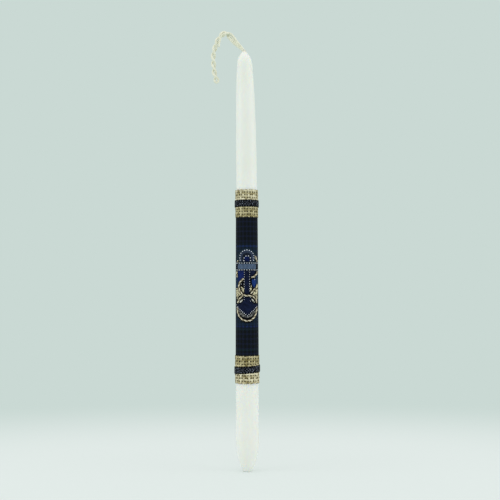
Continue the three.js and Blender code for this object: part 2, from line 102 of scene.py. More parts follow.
# %% A wire between nodes
class Wire:
    """A node's output in a tree. Sums of wires and numbers add the Math nodes for them."""

    def __init__(self, tree, socket=None):
        self.tree = tree
        self.socket = socket

    def node(self, kind, settings=None, sockets=None, output=0):
        made = self.tree.nodes.new(kind)
        for name, value in (settings or {}).items():
            setattr(made, name, value)
        for name, value in (sockets or {}).items():
            if isinstance(value, Wire):
                self.tree.links.new(value.socket, made.inputs[name])
            else:
                made.inputs[name].default_value = value
        return Wire(self.tree, made.outputs[output] if len(made.outputs) else None)

    def output(self, name):
        return Wire(self.tree, self.socket.node.outputs[name])

    def math(self, operation, *others):
        inputs = dict(enumerate([self, *others]))
        return self.node("ShaderNodeMath", {"operation": operation}, inputs)

    def vector(self, operation, *others):
        sockets = dict(enumerate([self, *others]))
        return self.node("ShaderNodeVectorMath", {"operation": operation}, sockets)

    def scaled(self, amount):
        return self.node("ShaderNodeVectorMath", {"operation": "SCALE"}, {0: self, "Scale": amount})

    def parts(self):
        """The x, y and z of a vector."""
        split = self.node("ShaderNodeSeparateXYZ", {}, {0: self})
        return [split.output(name) for name in "XYZ"]

    def blend(self, low, high):
        """The colour low where this wire is 0, and the colour high where it is 1."""
        return self.node("ShaderNodeMix", {"data_type": "RGBA"}, {0: self, 6: low, 7: high}, 2)

    def between(self, start, end):
        """0 before start, 1 after end, and a smooth rise between them."""
        steps = {"Value": self, "From Min": start, "From Max": end}
        return self.node("ShaderNodeMapRange", {"interpolation_type": "SMOOTHSTEP"}, steps)

    def __add__(self, other):
        return self.math("ADD", other)

    def __sub__(self, other):
        return self.math("SUBTRACT", other)

    def __rsub__(self, other):
        return self.node("ShaderNodeMath", {"operation": "SUBTRACT"}, {0: other, 1: self})

    def __mul__(self, other):
        return self.math("MULTIPLY", other)

    def __truediv__(self, other):
        return self.math("DIVIDE", other)

    __radd__ = __add__
    __rmul__ = __mul__


print("ways to use a wire:", len([name for name in vars(Wire) if callable(getattr(Wire, name))]))

# %% Colours as they are written
def paint(hex_colour):
    """A colour as it is written, such as 2a3b4c, in the linear numbers that shaders use."""
    shares = [int(hex_colour[i : i + 2], 16) / 255 for i in (0, 2, 4)]
    return (*[s / 12.92 if s <= 0.04045 else ((s + 0.055) / 1.055) ** 2.4 for s in shares], 1)


print("mid grey in linear numbers:", round(paint("808080")[0], 3))

# %% [markdown]
# ## Finishes
#
# Every finish starts from a Principled shader. Numbers that are the same all over, such as
# sheen, go on its own sockets, and only colour, roughness and the bump vary over the surface.
# What varies is read from places in the object, from a UV map in metres that a cloth carries, or
# from an attribute that a geometry tree left on the mesh.

# %% A finish to start from
def finish(name, colour, roughness, **uniform):
    """A material, and the wire of its shader's output."""
    material = bpy.data.materials.new(name)
    material.use_nodes = True
    material.node_tree.nodes.clear()
    sockets = {"Base Color": colour, "Roughness": roughness}
    sockets.update({name.replace("_", " "): value for name, value in uniform.items()})
    surface = Wire(material.node_tree).node("ShaderNodeBsdfPrincipled", {}, sockets)
    surface.node("ShaderNodeOutputMaterial", {}, {"Surface": surface})
    print("finish:", name)
    return material, surface


def colour_with(surface, wire, socket="Base Color"):
    surface.tree.links.new(wire.socket, surface.socket.node.inputs[socket])


def raise_with(surface, height, depth, strength=1.0):
    """A bump from a height wire. Depth is in metres for a height of 1."""
    bump = surface.node("ShaderNodeBump", {},
                        {"Height": height, "Distance": depth, "Strength": strength})
    colour_with(surface, bump, "Normal")


def places(surface):
    return surface.node("ShaderNodeTexCoord").output("Object")


def cloth_places(surface):
    """How far round and how far up a place lies on the flat cloth."""
    return surface.node("ShaderNodeUVMap", {"uv_map": "cloth"}).parts()[:2]


def carried(surface, name):
    """A number that the mesh carries as an attribute."""
    return surface.node("ShaderNodeAttribute", {"attribute_name": name}).output("Fac")


def noise(wire, vector, size, detail=2.0, stretch=(1, 1, 1)):
    """Noise with spots of about this size in metres, longer along an axis with a small stretch."""
    scale = tuple(share / size for share in stretch)
    spread = wire.node("ShaderNodeMapping", {}, {"Vector": vector, "Scale": scale})
    return wire.node("ShaderNodeTexNoise", {}, {"Vector": spread, "Scale": 1.0, "Detail": detail})

# %% [markdown]
# ## The wax
#
# The candle is dipped: layer on layer of stearin-white wax, so it is smooth and faintly uneven,
# lets a little light in, and has a soft shine. A turned profile makes it, with nearly the curves
# of the packed model: a drawn-in foot, a long slow taper, a point and a small neck round the
# wick. A lathe modifier would do it too, but plain rings let the radius waver by a few hundredths
# of a millimetre, as dipping leaves it. Towards the tip the wax has run in soft ridges, and it
# has climbed the wick by 1.6 mm. From 250 mm up the candle is bowed a little to the left, by
# 1.9 mm at its tip.

# %% Sizes of the wax
CANDLE_LENGTH = 400 * MM
BUTT_RADIUS = 10.8 * MM
SHOULDER_RADIUS = 9.6 * MM
SHOULDER_HEIGHT = 322 * MM
DRAWN_IN = 24 * MM
TAPER_POWER = 1.65
FOOT_FLAT_RADIUS = 3.8 * MM
DOME_RADIUS = 7.2 * MM
DOME_HEIGHT = 388.3 * MM
NECK_RADIUS = 2.2 * MM
NECK_HEIGHT = 399.6 * MM
NECK_TOP_RADIUS = 1.4 * MM
TIP_HEIGHT = CANDLE_LENGTH + 1.6 * MM
BOW_HEIGHT = 250 * MM
BOW_AT_TIP = -1.9 * MM
BOW_POWER = 1.8

print("length of the wax for its width:", round(CANDLE_LENGTH / (2 * BUTT_RADIUS), 1))

# %% The long taper
def wax_radius(height):
    share = np.clip((height - DRAWN_IN) / (SHOULDER_HEIGHT - DRAWN_IN), 0, None)
    return BUTT_RADIUS - (BUTT_RADIUS - SHOULDER_RADIUS) * share**TAPER_POWER


print("radius half-way up:", round(wax_radius(CANDLE_LENGTH / 2) / MM, 2), "mm")

# %% The line of the wax
def pulled_line(points, count):
    """A line from the first point to the last, bent towards any points between them."""
    t = np.linspace(0, 1, count)[:, None]
    rows = [np.asarray(p, float) + 0 * t for p in points]
    while len(rows) > 1:
        rows = [a + (b - a) * t for a, b in zip(rows, rows[1:])]
    return rows[0]


def between(low, high, share):
    return low + (high - low) * share


foot_line = pulled_line(
    [
        (FOOT_FLAT_RADIUS, 0),
        (between(FOOT_FLAT_RADIUS, BUTT_RADIUS, 0.16), DRAWN_IN * 0.06),
        (between(FOOT_FLAT_RADIUS, BUTT_RADIUS, 0.88), DRAWN_IN * 0.5),
        (BUTT_RADIUS, DRAWN_IN),
    ],
    20,
)
long_line = np.array([(wax_radius(z), z) for z in np.linspace(DRAWN_IN, SHOULDER_HEIGHT, 76)])
point_line = pulled_line(
    [
        (SHOULDER_RADIUS, SHOULDER_HEIGHT),
        (SHOULDER_RADIUS - 0.2 * MM, between(SHOULDER_HEIGHT, DOME_HEIGHT, 0.42)),
        (DOME_RADIUS + 1 * MM, between(SHOULDER_HEIGHT, DOME_HEIGHT, 0.8)),
        (DOME_RADIUS, DOME_HEIGHT),
    ],
    24,
)
dome_line = pulled_line(
    [
        (DOME_RADIUS, DOME_HEIGHT),
        (DOME_RADIUS - 0.8 * MM, between(DOME_HEIGHT, NECK_HEIGHT, 0.7)),
        (between(DOME_RADIUS, NECK_RADIUS, 0.8), between(DOME_HEIGHT, NECK_HEIGHT, 0.7)),
        (NECK_RADIUS, NECK_HEIGHT),
    ],
    16,
)
neck_bend = (NECK_TOP_RADIUS, NECK_HEIGHT + 0.8 * MM)
neck_top = (NECK_TOP_RADIUS, TIP_HEIGHT)
neck_line = pulled_line([(NECK_RADIUS, NECK_HEIGHT), neck_bend, neck_top], 10)
wax_line = np.vstack([foot_line, long_line[1:], point_line[1:], dome_line[1:], neck_line[1:]])
print("rings of wax:", len(wax_line))

# %% The wax finish
wax, wax_surface = finish(
    "dipped wax",
    paint("ecefe8"),
    0.38,
    Subsurface_Weight=0.5,
    Subsurface_Scale=0.006,
    Subsurface_Radius=(1.0, 0.85, 0.65),
    Specular_IOR_Level=0.3,
)
wax_place = places(wax_surface)
wax_streaks = noise(wax_surface, wax_place, 3 * MM, 2, (1, 1, 0.05))
wax_clouds = noise(wax_surface, wax_place, 22 * MM, 1)
wax_height = wax_place.parts()[2]
wick_stain = wax_height.between(397.5 * MM, 401.4 * MM) * 0.75
wax_tone = (wax_clouds * 0.6 + wax_streaks * 0.4).blend(paint("e8ebe3"), paint("f1f3ee"))
colour_with(wax_surface, wick_stain.blend(wax_tone, paint("c9c4ae")))
colour_with(wax_surface, 0.28 + 0.14 * wax_streaks, "Roughness")
raise_with(wax_surface, wax_clouds + 0.25 * wax_streaks, 0.10 * MM, 0.5)
print("nodes in the wax:", len(wax.node_tree.nodes))

# %% Pieces that ride on the candle
def add_piece(name, points, faces, material, slot, *nodes, sharp_degrees=None):
    """A smooth mesh with this material, which stands for the packed nodes."""
    mesh = bpy.data.meshes.new(name)
    mesh.from_pydata([tuple(map(float, p)) for p in points], [], faces)
    mesh.shade_smooth()
    if sharp_degrees is not None:
        mesh.set_sharp_from_angle(angle=math.radians(sharp_degrees))
    mesh.materials.append(material)
    return settle(show(bpy.data.objects.new(name, mesh)), slot, *nodes)


def settle(piece, slot, *nodes):
    """The piece rides on the candle and hides the nodes that it stands for. Its slot is not used.
    """
    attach(piece, "root")
    if nodes:
        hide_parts(*nodes)
    MADE.append(piece)
    print(f"{piece.name}: {len(piece.data.polygons)} faces")
    return piece


def ring_faces(rings, sides):
    """Faces between closed rings of points that lie one after another, seen from outside."""
    faces = []
    for i in range(rings - 1):
        for j in range(sides):
            k = (j + 1) % sides
            faces.append((i * sides + j, i * sides + k, (i + 1) * sides + k, (i + 1) * sides + j))
    return faces


print("faces between three rings of four points:", len(ring_faces(3, 4)))

# %% Rings of wax
def wax_lean(height):
    """How far the candle's middle lies to the right at a height."""
    bowed_share = np.clip((height - BOW_HEIGHT) / (CANDLE_LENGTH - BOW_HEIGHT), 0, None)
    return BOW_AT_TIP * bowed_share**BOW_POWER


def turned_wax(line, sides):
    """Rings of points with a seeded waver, and a stronger one where the wax ran at the tip."""
    angle = np.linspace(0, math.tau, sides, endpoint=False)
    wander = np.random.default_rng(4).uniform(0, math.tau, 6)
    rings = []
    for radius, height in line:
        waver = 0.035 * MM * np.sin(2 * angle + 90 * height + wander[0])
        waver += (0.03 * MM * np.sin(3 * angle - 150 * height + wander[1])
                  * np.sin(260 * height + wander[2]))
        near_tip = np.exp(-(((height - 389 * MM) / (7 * MM)) ** 2))
        lumps = np.sin(5 * angle + wander[3]) + 0.5 * np.sin(9 * angle + wander[4])
        waver += near_tip * 0.16 * MM * lumps
        waver *= min(1, radius / BUTT_RADIUS + 0.1) * min(1, height / (20 * MM))
        x = wax_lean(height) + (radius + waver) * np.cos(angle)
        y = (radius + waver) * np.sin(angle)
        rings.append(np.column_stack([x, y, np.full(sides, height)]))
    return np.vstack(rings)


print("lean of the tip:", round(wax_lean(CANDLE_LENGTH) / MM, 1), "mm")

# %% Turn the wax
WAX_SIDES = 128
wax_points = turned_wax(wax_line, WAX_SIDES)
wax_faces = ring_faces(len(wax_line), WAX_SIDES)
foot_middle, tip_middle = len(wax_points), len(wax_points) + 1
last_ring = (len(wax_line) - 1) * WAX_SIDES
for j in range(WAX_SIDES):
    k = (j + 1) % WAX_SIDES
    wax_faces.append((foot_middle, k, j))
    wax_faces.append((tip_middle, last_ring + j, last_ring + k))
wax_points = np.vstack([wax_points, (0, 0, 0), (wax_lean(TIP_HEIGHT), 0, TIP_HEIGHT - 0.3 * MM)])
add_piece("candle_wax", wax_points, wax_faces, wax, "wax", "candle_body")

# %% [markdown]
# ## Geometry trees
#
# Strands, threads and stitches repeat, and Geometry Nodes repeat things well. Each tree is built
# by a function, has named inputs for its sizes, and ends in Realize Instances and Set Material.
# `grow` puts a tree on a line or a mesh, sets the inputs, and keeps the result as a plain mesh,
# so that no modifier is left on the piece.

# %% Trees with named inputs
def new_tree(name, **inputs):
    """An empty geometry tree with these inputs, and the wire of its group input."""
    tree = bpy.data.node_groups.new(name, "GeometryNodeTree")
    tree.interface.new_socket("Geometry", in_out="INPUT", socket_type="NodeSocketGeometry")
    tree.interface.new_socket("Geometry", in_out="OUTPUT", socket_type="NodeSocketGeometry")
    for label, value in inputs.items():
        kind = "NodeSocketInt" if isinstance(value, int) else "NodeSocketFloat"
        socket = tree.interface.new_socket(label.replace("_", " "), in_out="INPUT",
                                           socket_type=kind)
        socket.default_value = value
    tree.interface.new_socket("Material", in_out="INPUT", socket_type="NodeSocketMaterial")
    return tree, Wire(tree).node("NodeGroupInput")


def end_tree(given, shape):
    """Smooth shading, real meshes and the material, and then the tree's output."""
    smooth = given.node("GeometryNodeSetShadeSmooth", {}, {"Geometry": shape})
    real = given.node("GeometryNodeRealizeInstances", {}, {"Geometry": smooth})
    finished = {"Geometry": real, "Material": given.output("Material")}
    dressed = given.node("GeometryNodeSetMaterial", {}, finished)
    given.node("NodeGroupOutput", {}, {"Geometry": dressed})
    print("nodes in the tree:", len(given.tree.nodes))

# %% Steps that the trees share
def carry(given, shape, name, value):
    """Leaves a number on every point of a shape, for a finish to read."""
    settings = {"data_type": "FLOAT", "domain": "POINT"}
    sockets = {"Geometry": shape, "Name": name, "Value": value}
    return given.node("GeometryNodeStoreNamedAttribute", settings, sockets)


def copies_of(given, line, count):
    """Copies of a line, and the wire of each copy's number."""
    sockets = {"Geometry": line, "Amount": count}
    copies = given.node("GeometryNodeDuplicateElements", {"domain": "SPLINE"}, sockets)
    return copies, copies.output("Duplicate Index")


def swept(given, line, section):
    sockets = {"Curve": line, "Profile Curve": section, "Fill Caps": True}
    return given.node("GeometryNodeCurveToMesh", {}, sockets)


def in_even_steps(given, step):
    """The mesh that a tree is given, as a curve with points an even step apart."""
    line = given.node("GeometryNodeMeshToCurve", {}, {"Mesh": given})
    sockets = {"Curve": line, "Length": step}
    return given.node("GeometryNodeResampleCurve", {"mode": "LENGTH"}, sockets)

# %% Run a tree on a line
def line_mesh(name, *lines):
    """A mesh of edges only, one chain of them for each line of points."""
    mesh = bpy.data.meshes.new(name)
    points, edges = [], []
    for line in lines:
        edges += [(len(points) + i, len(points) + i + 1) for i in range(len(line) - 1)]
        points += [tuple(map(float, p)) for p in line]
    mesh.from_pydata(points, edges, [])
    return mesh


def grow(tree, name, mesh, material, **sizes):
    """Runs the tree on a mesh, and keeps what it makes as a plain mesh object."""
    piece = show(bpy.data.objects.new(name, mesh))
    modifier = piece.modifiers.new(tree.name, "NODES")
    modifier.node_group = tree
    wanted = {label.replace("_", " "): value for label, value in sizes.items()}
    wanted["Material"] = material
    for item in tree.interface.items_tree:
        if item.in_out == "INPUT" and item.name in wanted:
            modifier[item.identifier] = wanted.pop(item.name)
    assert not wanted, f"{tree.name} has no input {list(wanted)}"
    depsgraph = bpy.context.evaluated_depsgraph_get()
    grown = bpy.data.meshes.new_from_object(
        piece.evaluated_get(depsgraph), preserve_all_data_layers=True, depsgraph=depsgraph
    )
    piece.modifiers.remove(modifier)
    piece.data = grown
    grown.name = name
    return piece

# %% [markdown]
# ## Laid strands
#
# A cord is plies that lie round each other. The tree takes a line, makes one copy of it for each
# ply, pushes each copy off the line by a turning arrow, and sweeps a small circle along it. The
# arrow turns once in each turn length, which gives the slant of the plies. Each ply carries its
# number as an attribute, so a finish can tell the plies apart. One tree serves the wick's cotton
# and the gold cord.

# %% Tree for laid strands
def laid_strands():
    tree, given = new_tree("laid strands", Plies=3, Ply_Radius=0.3 * MM, Lay_Radius=0.3 * MM,
                           Turn_Length=3 * MM, Step=0.3 * MM, Sides=6)
    even = in_even_steps(given, given.output("Step"))
    copies, index = copies_of(given, even, given.output("Plies"))
    share = index / given.output("Plies")
    run = given.node("GeometryNodeSplineParameter").output("Length")
    numbered = carry(given, copies, "ply", share)
    turn = (run / given.output("Turn Length") + share) * math.tau
    across = given.node("GeometryNodeInputNormal")
    along = given.node("GeometryNodeInputTangent")
    up = along.vector("CROSS_PRODUCT", across)
    arrow = across.scaled(turn.math("COSINE")).vector("ADD", up.scaled(turn.math("SINE")))
    pushed = {"Geometry": numbered, "Offset": arrow.scaled(given.output("Lay Radius"))}
    moved = given.node("GeometryNodeSetPosition", {}, pushed)
    circle = {"Resolution": given.output("Sides"), "Radius": given.output("Ply Radius")}
    end_tree(given, swept(given, moved, given.node("GeometryNodeCurvePrimitiveCircle", {}, circle)))
    return tree


strand_tree = laid_strands()

# %% [markdown]
# ## The wick
#
# The wick is cotton: two thick strands that twist round each other, half a turn in 8 mm. It is
# one strand, in fact, folded at its far end, where it makes a small loop. It leaves the tip, is
# broad and open where it climbs, turns over at the top and hangs down beside the candle. A
# thinner third strand lies between the two where they are open, and its loose end hangs from the
# bend. Two separate strands would be easier, but they would end in two loose tips. So a route
# through a few points gives the line of the wick, a second line is wound round it, out on one
# side and back on the other, and the plies of the cotton are laid along that second line.

# %% Lines and their lengths
def run_along(line, power=1):
    """How far along a line each of its points lies."""
    steps = np.linalg.norm(np.diff(line, axis=0), axis=1) ** power
    return np.concatenate([[0], np.cumsum(steps)])


def mixed(t, start, end, low, high):
    return ((end - t) * low + (t - start) * high) / (end - start)


def evenly(line, step):
    """The same line with its points an even step apart."""
    line = np.asarray(line, float)
    run = run_along(line)
    stops = np.linspace(0, run[-1], max(2, round(run[-1] / step) + 1))
    return np.column_stack([np.interp(stops, run, line[:, k]) for k in range(line.shape[1])])


def length_of(line):
    return float(run_along(line)[-1])


def heading(line):
    """The direction of a line at each of its points, as arrows of length 1."""
    along = np.gradient(line, axis=0)
    return along / np.linalg.norm(along, axis=1)[:, None]


print("length of a bent line:", length_of([(0, 0), (3, 4), (3, 10)]))

# %% A smooth route through points
def smooth_route(points, step):
    """A smooth curve through the points, in even steps of about this length. Each stretch is mixed
    from straight ones, timed by the root of their length, so that close points make no loop."""
    p = np.asarray(points, float)
    p = np.vstack([2 * p[0] - p[1], p, 2 * p[-1] - p[-2]])
    knots = run_along(p, 0.5)
    fine = []
    for i in range(1, len(p) - 2):
        k0, k1, k2, k3 = knots[i - 1 : i + 3]
        t = np.linspace(k1, k2, 40, endpoint=False)[:, None]
        before, here, after = (mixed(t, *knots[j : j + 2], *p[j : j + 2])
                               for j in (i - 1, i, i + 1))
        fine.append(mixed(t, k1, k2, mixed(t, k0, k2, before, here), mixed(t, k1, k3, here, after)))
    return evenly(np.vstack([*fine, p[-2]]), step)


corner_route = smooth_route([(0, 0, 0), (10, 0, 0), (10, 10, 0)], 0.5)
print("length of a smooth route round a corner:", round(length_of(corner_route), 1))

# %% The route of the wick
# Distance to the right, distance to the back and height above the wax, in millimetres
WICK_ROUTE = [
    (-1.9, 0, -0.6),
    (-2.9, 0, 1.1),
    (-4.7, 0, 3),
    (-7.2, -0.2, 5.4),
    (-11, -0.5, 9.2),
    (-15, -0.8, 14),
    (-19.2, -1, 17.3),
    (-23.8, -1, 15.4),
    (-28, -0.9, 9),
    (-30.8, -0.8, 0.2),
    (-31.7, -0.7, -6.4),
    (-31.2, -0.6, -14.6),
    (-30.4, -0.6, -21.8),
    (-28.6, -0.6, -28.3),
]


def over_the_wax(route):
    """A smooth line in metres through places that are given from the end of the wax."""
    return smooth_route([(x * MM, y * MM, CANDLE_LENGTH + z * MM) for x, y, z in route], 0.4 * MM)


wick_line = over_the_wax(WICK_ROUTE)
print("length of the wick's line:", round(length_of(wick_line) / MM, 1), "mm")

# %% Wind the strand out and back
OPEN_LENGTH = 20 * MM
CROSSINGS = 7
# Half the distance between the two strands, in millimetres, at millimetres along the wick
SPREAD_AT = [0, 2, 4, 7, 11, 16, 22, 28, 34, 62, 70, 75, 90]
SPREAD = [0.2, 0.4, 0.6, 1.0, 1.5, 2.1, 2.1, 1.6, 1.35, 1.35, 1.4, 1.8, 1.9]


def wick_frames(line):
    """Arrows square to the line at each point: one in the plane of the arch, one out of it."""
    along = heading(line)
    out = np.array([0, -1.0, 0])
    out = out - along * (along @ out)[:, None]
    out /= np.linalg.norm(out, axis=1)[:, None]
    return np.cross(along, out), out


def wound_strand(line):
    """One strand that goes out along the line, folds round at its end, and comes back."""
    run = run_along(line)
    beside, out = wick_frames(line)
    open_part = np.exp(-(((run - 13 * MM) / (7 * MM)) ** 2))
    share = np.clip((run - OPEN_LENGTH) / (run[-1] - OPEN_LENGTH), 0, 1)
    turn = math.pi * CROSSINGS * share + 0.2 * np.sin(run / (3 * MM)) * open_part
    width = np.interp(run / MM, SPREAD_AT, SPREAD) * MM
    depth = width * (1 - 0.5 * open_part)
    arrow = beside * (np.cos(turn) * width)[:, None] + out * (np.sin(turn) * depth)[:, None]
    fold = np.linspace(0, math.pi, 9)[1:-1]
    onward = line[-1] - line[-2]
    onward /= np.linalg.norm(onward)
    loop = [line[-1] + arrow[-1] * math.cos(a) + onward * width[-1] * 1.1 * math.sin(a)
            for a in fold]
    return np.vstack([line + arrow, loop, (line - arrow)[::-1]])


wick_strand = wound_strand(wick_line)
print("length of the folded strand:", round(length_of(wick_strand) / MM, 1), "mm")

# %% [markdown]
# Cotton is matt, and light that gets into its fibres brightens it all round. Subsurface
# scattering would show that, but on plies this thin it is noisy, so a soft sheen does it.

# %% The cotton finish
cotton, cotton_surface = finish(
    "wick cotton",
    paint("eceada"),
    0.95,
    Sheen_Weight=0.6,
    Sheen_Roughness=0.6,
    Specular_IOR_Level=0.05,
)
cotton_place = places(cotton_surface)
cotton_fibres = noise(cotton_surface, cotton_place, 0.35 * MM, 3)
cotton_patches = noise(cotton_surface, cotton_place, 4 * MM, 1)
cotton_tone = (cotton_fibres * 0.55 + cotton_patches * 0.45).between(0.3, 0.7)
colour_with(cotton_surface, cotton_tone.blend(paint("e4e4cc"), paint("f0f0de")))
raise_with(cotton_surface, cotton_fibres, 0.06 * MM, 0.4)

# %% Lay the cotton
# Distance to the right and to the back, and height above the wax, in millimetres
LOOSE_END = [(-23.2, -2.6, 14.8), (-24.8, -3, 10.6), (-25.8, -3, 6.4), (-26.2, -2.9, 3.6)]
OPEN_POINTS = 7


def lay_strands(name, lines, material, slot, *nodes, **sizes):
    piece = grow(strand_tree, name, line_mesh(name, *lines), material, **sizes)
    return settle(piece, slot, *nodes)


wick = lay_strands("wick_twist", [wick_strand], cotton, "wick", "wick_free", Plies=3,
                   Ply_Radius=0.68 * MM, Lay_Radius=0.5 * MM, Turn_Length=5.5 * MM,
                   Step=0.35 * MM, Sides=8)
third_line = over_the_wax(WICK_ROUTE[:OPEN_POINTS] + LOOSE_END)
loose_end = lay_strands("wick_loose_end", [third_line], cotton, "wick", Plies=3,
                        Ply_Radius=0.48 * MM, Lay_Radius=0.42 * MM, Turn_Length=5 * MM,
                        Step=0.35 * MM, Sides=8)

# %% [markdown]
# Inside the wax the same two strands run down to just above the foot. Nobody sees them, so their
# plies are plainer, but the candle could be cut open and would still be right.

# %% Wick inside the wax
core_heights = np.linspace(8.3 * MM, CANDLE_LENGTH + 1 * MM, 400)
core_line = [(wax_lean(z), 0, z) for z in core_heights]
lay_strands("wick_inside", [core_line], cotton, "wick", "wick_core", Plies=2,
            Ply_Radius=0.58 * MM, Lay_Radius=0.6 * MM, Turn_Length=16 * MM, Step=1 * MM, Sides=6)

# %% [markdown]
# ## Places on the dressing
#
# Cloth is cut flat and wrapped. A place on it is a distance round the candle, from the middle of
# the front towards the viewer's right, and a height. `wrapped` turns that into a point, at some
# height over the sleeve's face. All cloth and cord on the badge is drawn flat first and then goes
# through it, so the pieces meet on the curved candle as they met on the table.

# %% From flat to wrapped
LAYER_GAP = 0.05 * MM
TARTAN_THICKNESS = 0.28 * MM
SHANK_BOTTOM = 167.15 * MM


def sleeve_radius(height):
    return wax_radius(height) + LAYER_GAP + TARTAN_THICKNESS


WRAP_RADIUS = sleeve_radius(SHANK_BOTTOM)


def wrapped(along, height, over):
    """Points for flat places on the sleeve, this far over its face."""
    along, height, over = np.broadcast_arrays(along, height, over)
    radius = sleeve_radius(height) + over
    angle = along / WRAP_RADIUS
    return np.column_stack([radius * np.sin(angle), -radius * np.cos(angle), height])


print("radius of the sleeve at the anchor:", round(WRAP_RADIUS / MM, 2), "mm")

# %% [markdown]
# ## The tartan sleeve
#
# A strip of thin tartan is wrapped once round the wax and glued, with its end lapped over its
# start at the back. A plain tube would have no end at all. So a closed thin shell makes it: a
# spiral that lies on the wax for one turn and climbs by one thickness where it laps. Its UV map
# is in metres, so the check keeps its size.

# %% A thin shell that laps over itself
DRESSING_BOTTOM = 83 * MM
DRESSING_TOP = 266 * MM
SLEEVE_LAP = 4 * MM


def lapped_sleeve(bottom, top, columns, rows):
    girth = math.tau * WRAP_RADIUS
    along = np.linspace(-girth / 2 - SLEEVE_LAP / 2, girth / 2 + SLEEVE_LAP / 2, columns)
    climb = TARTAN_THICKNESS + LAYER_GAP
    climbed = np.clip((along - (girth / 2 - 3.0 * SLEEVE_LAP)) / (1.8 * SLEEVE_LAP), 0, 1)
    lift = climb * climbed * climbed * (3 - 2 * climbed)
    heights = np.linspace(bottom, top, rows)
    outer = np.vstack([wrapped(along, z, lift) for z in heights])
    inner = np.vstack([wrapped(along, z, lift - TARTAN_THICKNESS) for z in heights])
    flat = np.vstack([np.column_stack([along, np.full(columns, z)]) for z in heights])
    return outer, inner, flat


def shell_faces(columns, rows):
    """Faces of a closed shell whose outer and inner grids of points follow each other."""
    size = columns * rows
    grid = [(r * columns + c, r * columns + c + 1, (r + 1) * columns + c + 1, (r + 1) * columns + c)
            for r in range(rows - 1) for c in range(columns - 1)]
    inside = [tuple(size + i for i in face[::-1]) for face in grid]
    rim = [r * columns for r in range(rows - 1, 0, -1)]
    rim += list(range(columns - 1))
    rim += [r * columns + columns - 1 for r in range(rows - 1)]
    rim += [(rows - 1) * columns + c for c in range(columns - 1, 0, -1)]
    walls = [(b, a, size + a, size + b) for a, b in zip(rim, rim[1:] + rim[:1])]
    return grid + inside + walls


def set_uv(piece, flat):
    """A UV map in metres from one flat place for each point."""
    layer = piece.data.uv_layers.new(name="cloth")
    corners = np.empty(len(piece.data.loops), int)
    piece.data.loops.foreach_get("vertex_index", corners)
    layer.data.foreach_set("uv", np.asarray(flat, float)[corners].ravel())


print("girth of the sleeve:", round(math.tau * WRAP_RADIUS / MM, 1), "mm")

# %% [markdown]
# The tartan is a dark check: near-black navy, crossed every 4.6 mm by fine purple-blue lines, by
# one brighter blue line above the anchor and one below it, and by two faint green ones. Between
# the bright lines the cloth has more blue, and outside them it is nearly black. Warp and weft
# pass over each other in a two-over-two twill, which shows as fine slanting ribs. A picture of
# tartan would blur close up, so the pattern is worked out from the UV map: a stripe is the
# distance to the nearest line, and the twill picks warp or weft. At both ends, under the outer
# half of each jute band, the cloth is brown with glue.

# %% Lines on cloth
TARTAN_YARN = 0.36 * MM
LINE_PITCH = 4.6 * MM
TIE_PITCH = 3.7 * MM
BRIGHT_LINES = (136.7 * MM, 212.3 * MM)
GREEN_LINES = (134.0 * MM, 114.8 * MM)


def single_line(wire, place, width):
    """1 on a line of this width, with soft edges."""
    return 1 - (wire - place).math("ABSOLUTE").between(width * 0.35, width * 0.65)


def stripe(wire, pitch, width, offset=0.0):
    """1 on lines of this width that come back at each pitch."""
    away = (wire + (offset + pitch / 2)).math("FLOORED_MODULO", pitch)
    return single_line(away, pitch / 2, width)


def within(wire, foot, top):
    """1 between two heights, with a soft step at each: foot and top are its start and end."""
    return wire.between(*foot) * (1 - wire.between(*top))


print("fine lines up the sleeve:", int((DRESSING_TOP - DRESSING_BOTTOM) / LINE_PITCH))

# %% The tartan finish
tartan, tartan_surface = finish(
    "tartan cloth", paint("0d1219"), 0.9, Sheen_Weight=0.02, Specular_IOR_Level=0.1
)
cloth_across, cloth_up = cloth_places(tartan_surface)
lower_line, upper_line = BRIGHT_LINES
bluer = within(cloth_up, (lower_line - 3 * MM, lower_line + 3 * MM),
               (upper_line - 3 * MM, upper_line + 6 * MM))
check_line = stripe(cloth_up, LINE_PITCH, 1.3 * MM, -0.9 * MM)
weft_tone = check_line.blend(paint("0b1013"), paint("151b30"))
weft_tone = bluer.blend(weft_tone, check_line.blend(paint("0f1c27"), paint("152740")))
ties = stripe(cloth_across, TIE_PITCH, 1.6 * MM)
for line_height in BRIGHT_LINES:
    on_line = single_line(cloth_up, line_height, 1.6 * MM) * (0.35 + 0.5 * ties)
    weft_tone = on_line.blend(weft_tone, paint("1d2f66"))
for line_height in GREEN_LINES:
    on_line = single_line(cloth_up, line_height, 1.7 * MM) * 0.8
    weft_tone = on_line.blend(weft_tone, paint("14282c"))
dark_warp = bluer.blend(paint("0b1014"), paint("0e1a24"))
warp_tone = ties.blend(dark_warp, bluer.blend(paint("131a2c"), paint("15253c")))
twill = ((cloth_across + cloth_up) / (4 * TARTAN_YARN)).math("FRACT")
rib = (twill - 0.5).math("ABSOLUTE") * 2
tartan_tone = rib.between(0.3, 0.7).blend(weft_tone, warp_tone)
hem = 1 - within(cloth_up, (93 * MM, 97 * MM), (252 * MM, 256 * MM))
colour_with(tartan_surface, hem.blend(tartan_tone, paint("4e4629")))
yarn_up = (cloth_up / TARTAN_YARN * math.pi).math("SINE").math("ABSOLUTE")
yarn_across = (cloth_across / TARTAN_YARN * math.pi).math("SINE").math("ABSOLUTE")
raise_with(tartan_surface, rib * 0.6 + yarn_up * yarn_across * 0.4, 0.10 * MM, 0.8)

